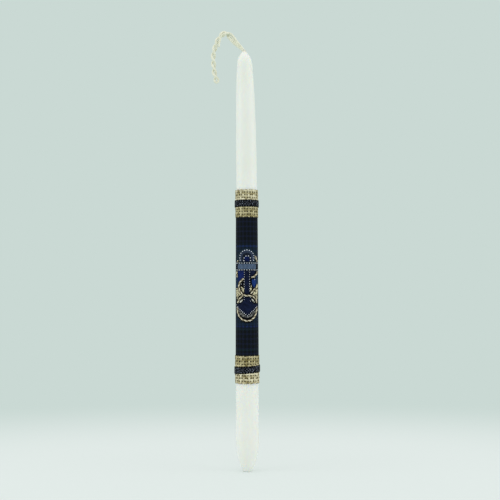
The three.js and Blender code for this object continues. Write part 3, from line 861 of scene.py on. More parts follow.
# %% Wrap the sleeve
SLEEVE_GRID = 181, 61
sleeve_bottom, sleeve_top = DRESSING_BOTTOM + 1 * MM, DRESSING_TOP - 1 * MM
outer_cloth, inner_cloth, flat_cloth = lapped_sleeve(sleeve_bottom, sleeve_top, *SLEEVE_GRID)
tartan_cloth = add_piece("tartan_cloth", np.vstack([outer_cloth, inner_cloth]),
                         shell_faces(*SLEEVE_GRID), tartan, "tartan", "tartan_sleeve",
                         sharp_degrees=40)
set_uv(tartan_cloth, np.vstack([flat_cloth, flat_cloth]))

# %% [markdown]
# ## The jute bands
#
# The bands are strips of loosely woven jute, with flat threads 1.7 mm wide that pass over and
# under each other every 2.6 mm and leave small dark holes. At 26 mm wide, a band has ten threads
# round the candle and 27 standing across it. A bumped tube would have no holes, so the threads
# are real here: a tree copies one line for each thread, bends it over and under, wraps it round
# the sleeve, and sweeps a flat section along it. A little noise keeps the threads from lying like
# wire. The tree also stores how high each point lies, and the finish paints the threads dark brown
# where they dip, as painted shade.

# %% A thread that is bent round the candle
def bent_thread(given, line, count, place_of, thread_width, thread_height):
    """Copies a unit line, moves the copies to place_of(share, index), and sweeps a flat section."""
    copies, index = copies_of(given, line, count)
    share = given.node("GeometryNodeSplineParameter")
    angle, radius, height = place_of(share, index)
    x = radius * angle.math("SINE")
    y = 0 - radius * angle.math("COSINE")
    place = given.node("ShaderNodeCombineXYZ", {}, {"X": x, "Y": y, "Z": height})
    marked = carry(given, copies, "thread", (index * 0.618 + 0.11).math("FRACT"))
    moved = given.node("GeometryNodeSetPosition", {}, {"Geometry": marked, "Position": place})
    facing = {"Curve": moved, "Normal": from_axis(given).vector("NORMALIZE")}
    turned = given.node("GeometryNodeSetCurveNormal", {"mode": "FREE"}, facing)
    circle = given.node("GeometryNodeCurvePrimitiveCircle", {}, {"Resolution": 8, "Radius": 0.5})
    size = given.node("ShaderNodeCombineXYZ", {}, {"X": thread_height, "Y": thread_width, "Z": 1.0})
    section = given.node("GeometryNodeTransform", {}, {"Geometry": circle, "Scale": size})
    return swept(given, turned, section)


def from_axis(given):
    """The level arrow from the candle's axis to each point."""
    return given.node("GeometryNodeInputPosition").vector("MULTIPLY", (1, 1, 0))


def carry_lift(given, shape, radius, depth):
    """Leaves on each point how high it lies, from -1 at the bottom of the weave to 1 at its top."""
    lift = (from_axis(given).vector("LENGTH").output("Value") - radius) / (depth * 2)
    return carry(given, shape, "lift", lift)


def unit_line(given, points):
    line = given.node("GeometryNodeCurvePrimitiveLine", {}, {"Start": (0, 0, 0), "End": (1, 0, 0)})
    return given.node("GeometryNodeResampleCurve", {"mode": "COUNT"},
                      {"Curve": line, "Count": points})

# %% Tree for woven jute
def parity(index):
    """1 for an even thread and -1 for an odd one."""
    return 1 - index.math("FLOORED_MODULO", 2) * 2


def waver(given, share, index, seed, size, amount):
    """A little noise along each thread."""
    spot = given.node("ShaderNodeCombineXYZ", {}, {"X": share * size, "Y": index * 3.7, "Z": seed})
    rough = given.node("ShaderNodeTexNoise", {}, {"Vector": spot, "Scale": 1.0, "Detail": 1.0})
    return (rough - 0.5) * amount


def woven_jute():
    tree, given = new_tree("woven jute", Standing=27, Round=10, Radius=11.2 * MM, Bottom=83 * MM,
                           Width=26 * MM, Thread_Width=2.0 * MM, Thread_Height=0.3 * MM,
                           Depth=0.13 * MM, Lap=0.3, Seam=0.24, Lap_Lift=0.3 * MM, Seed=1.0)
    standing, rows, radius = given.output("Standing"), given.output("Round"), given.output("Radius")
    pitch = given.output("Width") / rows
    depth, seed = given.output("Depth"), given.output("Seed")
    sweep = math.tau + given.output("Lap")
    start = math.pi + given.output("Seam")

    def lap_lift(turned_share):
        return turned_share.between(0.86, 0.93) * given.output("Lap Lift")

    def upright(share, index):
        lean = waver(given, share, index, seed, 2.5, 0.14)
        turned_share = (index + 0.5) / standing
        angle = start + sweep * turned_share + lean
        under = (share * rows * math.pi).math("COSINE") * parity(index)
        height = given.output("Bottom") + share * given.output("Width")
        return angle, radius + depth * under + lap_lift(turned_share), height

    def level(share, index):
        bob = waver(given, share, index, seed + 5.0, 26.0, 1.6 * MM)
        over = (share * standing * math.pi).math("SINE") * parity(index)
        middle = given.output("Bottom") + (index + 0.5) * pitch + bob
        return start + sweep * share, radius + depth * over + lap_lift(share), middle

    sizes = given.output("Thread Width"), given.output("Thread Height")
    shapes = [
        bent_thread(given, unit_line(given, 46), standing, upright, *sizes),
        bent_thread(given, unit_line(given, 170), rows, level, *sizes),
    ]
    joined = given.node("GeometryNodeJoinGeometry")
    for shape in shapes:
        tree.links.new(shape.socket, joined.socket.node.inputs[0])
    end_tree(given, carry_lift(given, joined, radius, depth))
    return tree


jute_tree = woven_jute()

# %% [markdown]
# Jute is straw-coloured and uneven: thread by thread, and along each thread where it thickens.
# It is browner beside the wax and paler beside the tartan.

# %% The jute finish
jute, jute_surface = finish("jute thread", paint("b0a87c"), 0.95, Sheen_Weight=0.05,
                            Specular_IOR_Level=0.15)
jute_place = places(jute_surface)
jute_thread = carried(jute_surface, "thread")
jute_strands = noise(jute_surface, jute_place, 0.22 * MM, 3)
jute_slubs = noise(jute_surface, jute_place, 3.2 * MM, 2)
jute_lift = carried(jute_surface, "lift")
jute_tone = (jute_thread * 0.3 + jute_strands * 0.25 + jute_slubs * 0.45).between(0.3, 0.7)
beside_tartan = within(jute_place.parts()[2], (94 * MM, 98 * MM), (251 * MM, 255 * MM))
dark_jute = beside_tartan.blend(paint("a0956a"), paint("82774a"))
light_jute = beside_tartan.blend(paint("f0e9c8"), paint("d4cba1"))
jute_face = jute_tone.blend(dark_jute, light_jute)
# Painted shade: where a thread dips low in the weave, its colour is painted dark brown.
jute_dip_shade = (jute_lift + (jute_slubs - 0.5) * 1.6).between(-0.8, 1.0)
colour_with(jute_surface, jute_dip_shade.blend(paint("564b22"), jute_face))
raise_with(jute_surface, jute_strands, 0.15 * MM, 0.8)

# %% Weave the two bands
JUTE_WIDTH = 26.2 * MM


def grow_round(tree, name, material, **sizes):
    """A band round the candle. The tree draws its own lines, so the mesh is only a place for it."""
    return grow(tree, name, line_mesh(name, [(0, 0, 0), (0, 0, MM)]), material, **sizes)


def jute_band(name, bottom, seed, node):
    radius = sleeve_radius(bottom + JUTE_WIDTH / 2)
    band = grow_round(jute_tree, name, jute, Radius=radius + 0.3 * MM, Bottom=bottom,
                      Width=JUTE_WIDTH, Thread_Width=1.7 * MM, Thread_Height=0.32 * MM,
                      Lap=0.36, Seam=math.radians(-14), Seed=seed)
    settle(band, "jute", node)


jute_band("jute_weave_lower", DRESSING_BOTTOM, 1.0, "lower_jute_band")
jute_band("jute_weave_upper", DRESSING_TOP - JUTE_WIDTH, 8.0, "upper_jute_band")

# %% [markdown]
# ## The braid trims
#
# Round the middle of each jute band is a flat braid of five dark, slightly shiny strands. In
# such a braid every strand runs slantwise from edge to edge and back, over one and under the
# next. Each strand could be drawn by hand, but all of them follow the same wave, each a fifth of
# a period later, so one formula and a copy index make the whole braid. The lower one was wound a
# little crooked and climbs to the right.

# %% Tree for a flat braid
# How near a strand's path comes to a sharp zigzag, from 0 to 1, and how fast it dips at an edge
ZIGZAG = 0.97
DIP = 3


def flat_braid():
    tree, given = new_tree("flat braid", Strands=5, Periods=6, Radius=11.8 * MM, Middle=96 * MM,
                           Width=7.1 * MM, Strand_Width=1.7 * MM, Strand_Height=0.42 * MM,
                           Depth=0.17 * MM, Slope=0.0, Lap=0.3, Seam=0.2, Lap_Lift=0.35 * MM)
    strands, periods = given.output("Strands"), given.output("Periods")
    sweep = math.tau + given.output("Lap")
    swing = (given.output("Width") - given.output("Strand Width")) / 2

    def place_of(share, index):
        phase = (share * periods + index / strands) * math.tau
        wave = (phase.math("SINE") * ZIGZAG).math("ARCSINE") / math.asin(ZIGZAG)
        half = (phase.math("COSINE") * DIP).math("MINIMUM", 1).math("MAXIMUM", -1)
        over = (phase * strands - math.pi / 2 * 5).math("COSINE") * half
        angle = math.pi + given.output("Seam") + sweep * share
        lift = share.between(0.90, 0.955) * given.output("Lap Lift")
        radius = given.output("Radius") + given.output("Depth") * over + lift
        climb = given.output("Slope") * radius * angle.math("SINE")
        return angle, radius, given.output("Middle") + swing * wave + climb

    sizes = given.output("Strand Width"), given.output("Strand Height")
    plaited = bent_thread(given, unit_line(given, 520), strands, place_of, *sizes)
    end_tree(given, carry_lift(given, plaited, given.output("Radius"), given.output("Depth")))
    return tree


braid_tree = flat_braid()

# %% [markdown]
# The braid is nearly black. Where a strand lies on top, small pale flecks are painted on it as
# painted highlights, where the strand would glint.

# %% The braid finish
braid, braid_surface = finish("dark braid", paint("0c0e18"), 0.45, Specular_IOR_Level=0.06)
braid_place = places(braid_surface)
braid_fibres = noise(braid_surface, braid_place, 0.3 * MM, 2)
braid_on_top = carried(braid_surface, "lift").between(0.7, 1.0)
# Painted highlight: pale flecks on the strands that lie on top.
braid_painted_glints = noise(braid_surface, braid_place, 0.55 * MM, 1).between(0.56, 0.64) * braid_on_top
colour_with(braid_surface, braid_painted_glints.blend(paint("020308"), paint("a2abc0")))
colour_with(braid_surface, 0.32 + braid_fibres * 0.25, "Roughness")
raise_with(braid_surface, braid_fibres, 0.10 * MM, 0.6)

# %% Plait the two trims
BRAID_WIDTH = 7.1 * MM
LOWER_BRAID_SLOPE = 0.075
BRAID_OVER_SLEEVE = 0.88 * MM


def braid_trim(name, middle, slope, node):
    trim = grow_round(braid_tree, name, braid, Radius=sleeve_radius(middle) + BRAID_OVER_SLEEVE,
                      Middle=middle, Width=BRAID_WIDTH, Slope=slope, Lap=0.3,
                      Seam=math.radians(12))
    settle(trim, "braid", node)


braid_trim("braid_lower", DRESSING_BOTTOM + JUTE_WIDTH / 2, LOWER_BRAID_SLOPE, "lower_braid_trim")
braid_trim("braid_upper", DRESSING_TOP - JUTE_WIDTH / 2, 0.0, "upper_braid_trim")

# %% [markdown]
# ## Cut cloth
#
# The badge is cut from cloth: a dark ground, and sixteen pieces of felt and corded cloth on it.
# A piece could be a flat slab, but a slab doesn't bend: so it is drawn as a flat outline, filled
# with small triangles, rounded down at its edge, and then wrapped round the candle. Where a row
# of stitches pulls it down it has a shallow groove. The drawing pen below makes outlines from
# straight lines, curves and arcs, in millimetres round the candle and above the shank's foot.

# %% A pen for outlines
class Pen:
    """Draws an outline, in millimetres round the candle and over the shank's foot."""

    def __init__(self, x, y):
        self.points = [(x, y)]

    def line(self, x, y):
        count = max(2, round(math.dist(self.points[-1], (x, y)) / 0.5) + 1)
        self.points += [tuple(p) for p in pulled_line([self.points[-1], (x, y)], count)[1:]]
        return self

    def curve(self, *controls):
        """A curve to the last place, bent towards the places before it."""
        count = max(4, round(math.dist(self.points[-1], controls[-1]) / 0.45))
        self.points += [tuple(p) for p in pulled_line([self.points[-1], *controls], count)[1:]]
        return self

    def arc(self, x, y, half_width, half_height, start, end):
        """Part of an ellipse about x, y, between two angles in degrees."""
        length = math.radians(abs(end - start)) * max(half_width, half_height)
        count = max(6, round(length / 0.45))
        for a in np.radians(np.linspace(start, end, count)):
            self.points.append((x + half_width * math.cos(a), y + half_height * math.sin(a)))
        return self

    def closed(self):
        """The outline as an array, without points that repeat."""
        kept = [self.points[0]]
        for p in self.points[1:]:
            if math.dist(p, kept[-1]) > 0.05 and math.dist(p, kept[0]) > 0.05:
                kept.append(p)
        return np.array(kept)


def row_of(*places):
    """The points of a row of stitches, from straight lines between places."""
    pen = Pen(*places[0])
    for place in places[1:]:
        pen.line(*place)
    return pen.points


print("points on a line of 10 mm:", len(row_of((0, 0), (10, 0))))

# %% What lies inside an outline
def distance_to(line, points, closed=True):
    """Distance from each point to a line of points."""
    a = np.asarray(line, float)
    b = np.roll(a, -1, axis=0) if closed else a[1:]
    a = a if closed else a[:-1]
    best = np.full(len(points), np.inf)
    for p, q in zip(a, b):
        d = q - p
        t = np.clip(((points - p) @ d) / max(d @ d, 1e-12), 0, 1)
        best = np.minimum(best, np.linalg.norm(points - (p + t[:, None] * d), axis=1))
    return best


def is_inside(outline, points):
    x, y = points[:, 0], points[:, 1]
    inside = np.zeros(len(points), bool)
    for (ax, ay), (bx, by) in zip(outline, np.roll(outline, -1, axis=0)):
        crosses = (ay > y) != (by > y)
        rise = by - ay if abs(by - ay) > 1e-12 else 1e-12
        inside ^= crosses & (x < (bx - ax) * (y - ay) / rise + ax)
    return inside


sample_square = np.array(row_of((0, 0), (10, 0), (10, 10), (0, 10), (0, 0.5)))
sample_places = np.array([(2, 5), (5, 4), (12, 5)])
print("distance from the rim:", distance_to(sample_square, sample_places))
print("is it inside:", is_inside(sample_square, sample_places))

# %% Fill an outline with triangles
def fill(outline, hole, spacing):
    """Points and triangles inside an outline and outside its hole, in its own plane."""
    low, high = outline.min(0), outline.max(0)
    xs, ys = np.arange(low[0], high[0], spacing), np.arange(low[1], high[1], spacing * 0.87)
    grid = np.array([(x + (i % 2) * spacing / 2, y) for i, y in enumerate(ys) for x in xs])
    loops = [outline] if hole is None else [outline, hole]
    clear = np.min([distance_to(loop, grid) for loop in loops], axis=0) > spacing * 0.45
    kept = grid[is_inside(outline, grid) & clear]
    if hole is not None:
        kept = kept[~is_inside(hole, kept)]
    rim = np.vstack(loops)
    every = np.vstack([rim, kept])
    sides, start = [], 0
    for loop in loops:
        sides += [(start + i, start + (i + 1) % len(loop)) for i in range(len(loop))]
        start += len(loop)
    made = delaunay_2d_cdt([Vector(p) for p in every], sides, [], 0, 1e-6)
    points = np.array([tuple(p) for p in made[0]])
    triangles = np.array(made[2])
    middles = points[triangles].mean(axis=1)
    wanted = is_inside(outline, middles)
    if hole is not None:
        wanted &= ~is_inside(hole, middles)
    return points, triangles[wanted]


def rim_edges(triangles):
    """Edges that only one triangle uses, in the direction in which it uses them."""
    edges = [(t[i], t[(i + 1) % 3]) for t in triangles for i in range(3)]
    known = set(edges)
    return [e for e in edges if (e[1], e[0]) not in known]


print("triangles in a 10 mm square of cloth:", len(fill(sample_square, None, 0.5)[1]))

# %% A patch of cloth
def cloth_patch(name, outline, over, thickness, material, slot, node, hole=None, rows=(),
                edge=0.3, spacing=0.5):
    """A wrapped piece of cloth. over and thickness are millimetres from the sleeve's face, and
    rows are lines of stitches that pull a groove into it."""
    points, triangles = fill(outline, hole, spacing)
    loops = [outline] if hole is None else [outline, hole]
    inset = np.min([distance_to(loop, points) for loop in loops], axis=0)
    round_down = 1 - (1 - np.clip(inset / edge, 0, 1)) ** 2
    height = thickness * (0.35 + 0.65 * np.sqrt(round_down))
    for row in rows:
        height -= 0.3 * thickness * np.exp(-((distance_to(row, points, False) / 0.4) ** 2))
    z = SHANK_BOTTOM + points[:, 1] * MM
    top = wrapped(points[:, 0] * MM, z, (over + height) * MM)
    bottom = wrapped(points[:, 0] * MM, z, over * MM)
    count = len(points)
    faces = [tuple(map(int, t)) for t in triangles]
    faces += [tuple(int(i) + count for i in t[::-1]) for t in triangles]
    faces += [(int(b), int(a), int(a) + count, int(b) + count) for a, b in rim_edges(triangles)]
    piece = add_piece(name, np.vstack([top, bottom]), faces, material, slot, node, sharp_degrees=60)
    set_uv(piece, np.vstack([points, points]) * MM)
    return piece

# %% [markdown]
# Felt is pressed fibre: matt, a little cloudy in colour, with a fine nap that catches light at
# the edges. The same finish serves all felts with two colours for each, and the silver and cream
# pieces, which are a mottled corded cloth, get fine slanting ribs from their UV map. The ground
# is not all black: it is teal beside the shank, and bluer above the stock.

# %% Felt and corded cloth
def felt(name, dark, light, tinted=None):
    """Felt of two colours. tinted can change the colour over the surface."""
    material, surface = finish(name, paint(dark), 0.92, Sheen_Weight=0.04, Specular_IOR_Level=0.1)
    place = places(surface)
    nap = noise(surface, place, 0.25 * MM, 3)
    clouds = noise(surface, place, 2.2 * MM, 2)
    tone = (nap * 0.5 + clouds * 0.5).between(0.35, 0.65).blend(paint(dark), paint(light))
    colour_with(surface, tinted(surface, tone) if tinted else tone)
    raise_with(surface, nap, 0.10 * MM, 0.7)
    return material


def corded(name, dark, light, rib_pitch, slant):
    """Cloth with ribs. slant is how far a rib moves sideways as it climbs."""
    material, surface = finish(name, paint(light), 0.7, Sheen_Weight=0.05, Specular_IOR_Level=0.3)
    across, up = cloth_places(surface)
    ribs = ((across + up * slant) / rib_pitch * math.tau).math("SINE") * 0.5 + 0.5
    clouds = noise(surface, places(surface), 1.8 * MM, 2)
    mottled = clouds.between(0.42, 0.57) * 0.75 + ribs * 0.25
    colour_with(surface, mottled.blend(paint(dark), paint(light)))
    raise_with(surface, ribs, 0.10 * MM, 0.8)
    return material


def teal_and_blue(surface, black):
    across, up = cloth_places(surface)
    side = across.math("ABSOLUTE").between(9.6 * MM, 10.4 * MM)
    rise = within(up, (4 * MM, 8 * MM), (19 * MM, 22 * MM))
    teal = (side * rise * 0.9).blend(black, paint("163a5e"))
    above_stock = up.between(27 * MM, 30 * MM) * 0.9
    return above_stock.blend(teal, paint("1a2b37"))

# %% The cloths of the badge
ground_cloth = felt("badge ground", "020307", "0a0c14", teal_and_blue)
slate_felt = felt("slate felt", "3f4d62", "566983")
ring_felt = felt("ring felt", "222b3e", "3d475e")
inlay_felt = felt("inlay felt", "0a0b14", "1e2334")
navy_felt = felt("navy felt", "070d20", "141e3c")
royal_felt = felt("royal felt", "0a1740", "14296c")
bright_felt = felt("bright felt", "0f2455", "1b3b80")
window_felt = felt("window felt", "070d28", "0f1f56")
cream_cloth = corded("cream cloth", "3c3314", "e9e1ba", 0.9 * MM, 0.7)
silver_cloth = corded("silver cloth", "1f1f25", "7e7f7b", 0.8 * MM, -0.6)
pale_cloth = corded("pale cloth", "5c5a50", "e8e8dc", 0.9 * MM, -0.6)

# %% [markdown]
# ## The anchor
#
# The anchor is a plain one, the common figure of a sailor's anchor: a round ring over a stock, a
# long shank, and a crown with two arms. The sizes below are those of the packed solids. A few
# tenths of a millimetre of dark ground show between the pieces.

# %% Sizes and outlines of the anchor
STOCK_TOP, STOCK_BOTTOM = 28.3, 23.4
RING_BASE = 30.15
SHANK_TOP = 22.1
CROWN_POINT = -20.4
LOOP_CENTRE = -9.6
OVER_GROUND = 0.4
FELT_THICKNESS = 0.4
BADGE = []


def box(half_width, bottom, top, top_corner=0.1, bottom_corner=0.1):
    """An upright box with round corners."""
    w = half_width
    pen = Pen(w - bottom_corner, bottom).curve((w, bottom), (w, bottom + bottom_corner))
    pen.line(w, top - top_corner).curve((w, top), (w - top_corner, top))
    pen.line(-w + top_corner, top).curve((-w, top), (-w, top - top_corner))
    pen.line(-w, bottom + bottom_corner).curve((-w, bottom), (-w + bottom_corner, bottom))
    return pen.line(w - bottom_corner, bottom).closed()


def arch(half_width, base, centre):
    pen = Pen(-half_width, base).line(half_width, base)
    return pen.arc(0, centre, half_width, half_width, 0, 180).closed()


print("shank and crown are", round(SHANK_TOP - CROWN_POINT, 1), "mm high")

# %% Outlines and rows of the ring
ring_outer = Pen(5.9, RING_BASE).curve((7, RING_BASE + 2.4), (7, RING_BASE + 4.8))
ring_outer.arc(0, RING_BASE + 4.8, 7, 7, 0, 180)
ring_outer.curve((-7, RING_BASE + 2.4), (-5.9, RING_BASE))
ring_outer.line(-4.4, RING_BASE).arc(0, RING_BASE + 4.3, 4.4, 4.4, 180, 0).line(4.4, RING_BASE)
ring_outline = ring_outer.line(5.9, RING_BASE).closed()
ring_row = Pen(6.3, RING_BASE + 1.7).curve((6.8, RING_BASE + 3), (6.8, RING_BASE + 4.8))
ring_row.arc(0.1, RING_BASE + 4.8, 6.7, 6.5, 0, 180)
ring_row.curve((-6.7, RING_BASE + 3), (-6.3, RING_BASE + 1.7))
window_row = Pen(3.3, RING_BASE + 1.3).line(3.3, RING_BASE + 3.2)
window_row.curve((3.1, RING_BASE + 5.7), (0.4, RING_BASE + 5.8))
window_row.curve((-2.2, RING_BASE + 5.7), (-2.7, RING_BASE + 3.2)).line(-2.7, RING_BASE + 1.3)
window_outline = box(2.4, RING_BASE + 0.6, RING_BASE + 5.5, 1.4)
window_hole = box(2.7, RING_BASE + 0.3, RING_BASE + 5.8, 1.4)
print("width and height of the ring:", (ring_outline.max(0) - ring_outline.min(0)).round(1), "mm")

# %% Cut the ring, the stock and the shank
def felt_piece(name, outline, material, slot, node, thickness=FELT_THICKNESS, **how):
    BADGE.append(cloth_patch(name, outline, OVER_GROUND, thickness, material, slot, node, **how))


stock_outline = box(9.3, STOCK_BOTTOM, STOCK_TOP, 1.6, 1.6)
felt_piece("badge_ring", ring_outline, ring_felt, "ring_felt", "anchor_ring",
           rows=[ring_row.points])
felt_piece("badge_ring_inlay", arch(4, RING_BASE, RING_BASE + 4.3), inlay_felt, "ring_felt",
           "ring_inlay", hole=window_hole, rows=[window_row.points])
felt_piece("badge_ring_window", window_outline, window_felt, "royal_felt", "ring_window")
felt_piece("badge_stock", stock_outline, slate_felt, "slate_felt", "anchor_stock",
           thickness=0.6, edge=0.45)
felt_piece("badge_shank", box(2.1, 0, SHANK_TOP), navy_felt, "navy_felt", "anchor_shank")

# %% Cut the crown and the crescent
crown_pen = Pen(0.3, CROWN_POINT).curve((5.3, CROWN_POINT + 4), (10.9, CROWN_POINT + 9))
crown_pen.line(10.9, CROWN_POINT + 11.6).curve((4.4, CROWN_POINT + 10.2), (3.4, CROWN_POINT + 15))
crown_pen.line(3.4, -2.4).line(-2.8, -2.4).line(-2.8, CROWN_POINT + 15)
crown_pen.curve((-3.6, CROWN_POINT + 11.3), (-9.8, CROWN_POINT + 10.9))
crown_pen.line(-9.8, CROWN_POINT + 8.9)
crown_outline = crown_pen.curve((-4.9, CROWN_POINT + 3.6), (0.3, CROWN_POINT)).closed()
crescent_pen = Pen(-8.7, CROWN_POINT + 6.4)
crescent_pen.curve((-7, CROWN_POINT - 4.4), (7, CROWN_POINT - 4.4), (8.7, CROWN_POINT + 6.4))
crescent_pen.curve((4.35, CROWN_POINT + 2.1), (0.3, CROWN_POINT - 1))
crescent_pen.curve((-4.35, CROWN_POINT + 2.1), (-8.7, CROWN_POINT + 6.4))
crescent_outline = crescent_pen.closed()
CROWN_ROWS = [Pen(0.3, CROWN_POINT).curve((-4.9, -16), (-9.2, -12)).points,
              Pen(0.3, CROWN_POINT).curve((5, -16), (9.9, -11.7)).points]
felt_piece("badge_crown", crown_outline, navy_felt, "navy_felt", "anchor_crown", rows=CROWN_ROWS)
felt_piece("badge_crescent", crescent_outline, silver_cloth, "silver_felt", "crescent_patch")


def crown_fill(side, throat, reach):
    """A leaf of silver cloth over an arm's upper edge."""
    near, top, tip = throat + 0.7, CROWN_POINT + 16.1, CROWN_POINT + 12
    belly = near + 0.7 * (reach - near)
    pen = Pen(side * near, top).curve((side * (near + 0.6), tip + 0.8), (side * reach, tip))
    return pen.curve((side * belly, tip + 2.6), (side * near, top)).closed()


felt_piece("badge_fill_left", crown_fill(-1, 2.8, 7.6), pale_cloth, "silver_felt",
           "crown_fill_left")
felt_piece("badge_fill_right", crown_fill(1, 3.4, 9), pale_cloth, "silver_felt",
           "crown_fill_right")

# %% Cut the blue and cream grounds
NEAR_SHANK = 2.8


def beside_shank(side, reach, inner_depth, outer_depth):
    near, far = side * NEAR_SHANK, side * reach
    bend = between(inner_depth, outer_depth, 0.6)
    pen = Pen(near, SHANK_TOP).line(far, SHANK_TOP).line(far, SHANK_TOP - outer_depth)
    pen.curve((far * 0.65, SHANK_TOP - bend), (near, SHANK_TOP - inner_depth))
    return pen.line(near, SHANK_TOP).closed()


def shield(near, far, top, depth):
    pen = Pen(near, top).curve((near, top - depth * 0.85), ((near + far) / 2, top - depth))
    return pen.curve((far, top - depth * 0.8), (far, top)).line(near, top).closed()


def cream_field(side, rise, shoulder):
    far = side * 11.8
    pen = Pen(far, rise).line(side * shoulder, rise)
    pen.curve((side * 6.9, rise * 0.28), (side * 5.4, -0.8))
    pen.curve((side * 8.8, -1.6), (side * 10.7, -5.6))
    return pen.line(far, 0.8).line(far, rise).closed()


def cream_patch(side, reach, bend, rise):
    near = side * NEAR_SHANK
    pen = Pen(near, rise * 0.65).line(side * reach, rise)
    return pen.curve((side * bend, 3.6), (near, 0.7)).line(near, rise * 0.65).closed()


felt_piece("badge_blue_left", beside_shank(-1, 8.8, 8.2, 10.8), royal_felt, "royal_felt",
           "blue_field_left")
felt_piece("badge_blue_right", shield(4.6, 9.3, SHANK_TOP - 7.9, 8.2), bright_felt, "royal_felt",
           "blue_field_right")
felt_piece("badge_navy_right", beside_shank(1, 9, 6.6, 4.2), navy_felt, "navy_felt",
           "navy_field_right")
CREAM_PIECES = {
    "badge_cream_left": (cream_field(-1, 5.6, 8.6), "cream_field_left"),
    "badge_cream_right": (cream_field(1, 9.4, 10.6), "cream_field_right"),
    "badge_patch_left": (cream_patch(-1, 6.2, 5.9, 8), "cream_patch_left"),
    "badge_patch_right": (cream_patch(1, 4.2, 4.9, 8.5), "cream_patch_right"),
}
for name, (outline, node) in CREAM_PIECES.items():
    felt_piece(name, outline, cream_cloth, "cream_felt", node)

# %% [markdown]
# The ground under all of it is one piece of black cloth, glued flat on the tartan. It is round
# at both ends and a little larger than the anchor, and it makes the dark line round each piece.

# %% Cut the ground
ground_pen = Pen(12.2, LOOP_CENTRE).line(12.2, STOCK_BOTTOM).line(11.3, RING_BASE)
ground_pen.arc(0, RING_BASE, 11.3, 12.8, 0, 180).line(-12.2, STOCK_BOTTOM)
ground_pen.line(-12.2, LOOP_CENTRE).arc(0, LOOP_CENTRE, 12.2, 17.6, 180, 360)
ground_outline = ground_pen.closed()
badge_ground = cloth_patch("badge_ground", ground_outline, 0.05, 0.3, ground_cloth, "backing",
                           "badge_backing", edge=0.2, spacing=0.9)

# %% [markdown]
# ## Stitches
#
# White running stitches hold the felt: each shows as a short, thick, bright bar of thread that
# dips into the cloth at both ends. Modelled one by one they would be dozens of pieces, so a tree
# puts a bar at even steps along each row and turns it to lie along the row and flat on the
# candle. The rows beside the shank are sewn with finer thread, and those along the crown's lower
# edge more closely.

# %% Tree for running stitches
def running_stitch():
    tree, given = new_tree("running stitch", Pitch=2.2 * MM, Stitch=0.32 * MM,
                           Thread=0.38 * MM, Rise=0.2 * MM)
    half = given.output("Stitch") * 0.5
    sunk = given.output("Rise") * -0.6
    start = given.node("ShaderNodeCombineXYZ", {}, {"X": half * -1, "Z": sunk})
    top = given.node("ShaderNodeCombineXYZ", {}, {"Z": given.output("Rise") * 1.6})
    end = given.node("ShaderNodeCombineXYZ", {}, {"X": half, "Z": sunk})
    bow = given.node("GeometryNodeCurveQuadraticBezier", {},
                     {"Resolution": 7, "Start": start, "Middle": top, "End": end})
    circle = given.node("GeometryNodeCurvePrimitiveCircle", {},
                        {"Resolution": 6, "Radius": given.output("Thread")})
    along = given.node("FunctionNodeAlignRotationToVector", {"axis": "X"},
                       {"Vector": given.node("GeometryNodeInputTangent")})
    flat = given.node("FunctionNodeAlignRotationToVector", {"axis": "Z", "pivot_axis": "X"},
                      {"Rotation": along, "Vector": from_axis(given).vector("NORMALIZE")})
    end_tree(given, given.node("GeometryNodeInstanceOnPoints", {}, {
        "Points": in_even_steps(given, given.output("Pitch")),
        "Instance": swept(given, bow, circle), "Rotation": flat,
    }))
    return tree


stitch_tree = running_stitch()

# %% The white thread
white_thread, white_surface = finish("white thread", paint("eef3fb"), 0.6, Sheen_Weight=0.1)
white_fibres = noise(white_surface, places(white_surface), 0.2 * MM, 2)
colour_with(white_surface, white_fibres.blend(paint("e4ecf8"), paint("f8fbff")))
raise_with(white_surface, white_fibres, 0.05 * MM, 0.5)

# %% Rows of stitches
def on_badge(flat_line, over):
    """A flat line on the badge, in millimetres, as points on the wrapped candle."""
    flat = np.asarray(flat_line, float)
    return wrapped(flat[:, 0] * MM, SHANK_BOTTOM + flat[:, 1] * MM, over * MM)


ABOVE_STOCK, BELOW_STOCK = 29.2, 22.75
# Each row with its height over the sleeve's face, in millimetres
STITCH_ROWS = [
    (ring_row.points, 0.7),
    (window_row.points, 0.8),
    (row_of((-11.6, ABOVE_STOCK), (11.6, ABOVE_STOCK)), 0.5),
    (row_of((-11.6, BELOW_STOCK), (11.6, BELOW_STOCK)), 0.5),
]
CLOSE_ROWS = [(row, 0.7) for row in CROWN_ROWS]
FINE_ROWS = [
    (row_of((-2.4, 20.6), (-2.4, 5)), 0.7),
    (row_of((2.45, 20.6), (2.45, 3)), 0.6),
    (row_of((-5.2, 9.4), (-2.6, 9.4)), 0.8),
    (row_of((7.4, 15.4), (7.4, 13.6)), 0.7),
    (row_of((-2.4, -2.9), (-2.4, -5.2)), 0.8),
    (row_of((3.1, -2.9), (3.1, -6.6)), 0.8),
    (row_of((-11.1, -10.2), (-10.9, -14.6)), 0.5),
]
print("rows to sew:", len(STITCH_ROWS) + len(CLOSE_ROWS) + len(FINE_ROWS))

# %% Sew the rows
def sew(name, rows, **sizes):
    lines = [evenly(on_badge(row, over), 0.3 * MM) for row, over in rows]
    stitches = grow(stitch_tree, name, line_mesh(name, *lines), white_thread, **sizes)
    BADGE.append(settle(stitches, "wick"))
    print(name, "has", len(rows), "rows,", f"{sum(map(length_of, lines)) / MM:.0f} mm long")


sew("badge_stitches", STITCH_ROWS)
sew("badge_fine_stitches", FINE_ROWS, Stitch=0.36 * MM, Thread=0.23 * MM)
sew("badge_crown_stitches", CLOSE_ROWS, Pitch=1.7 * MM, Stitch=0.34 * MM, Thread=0.3 * MM)
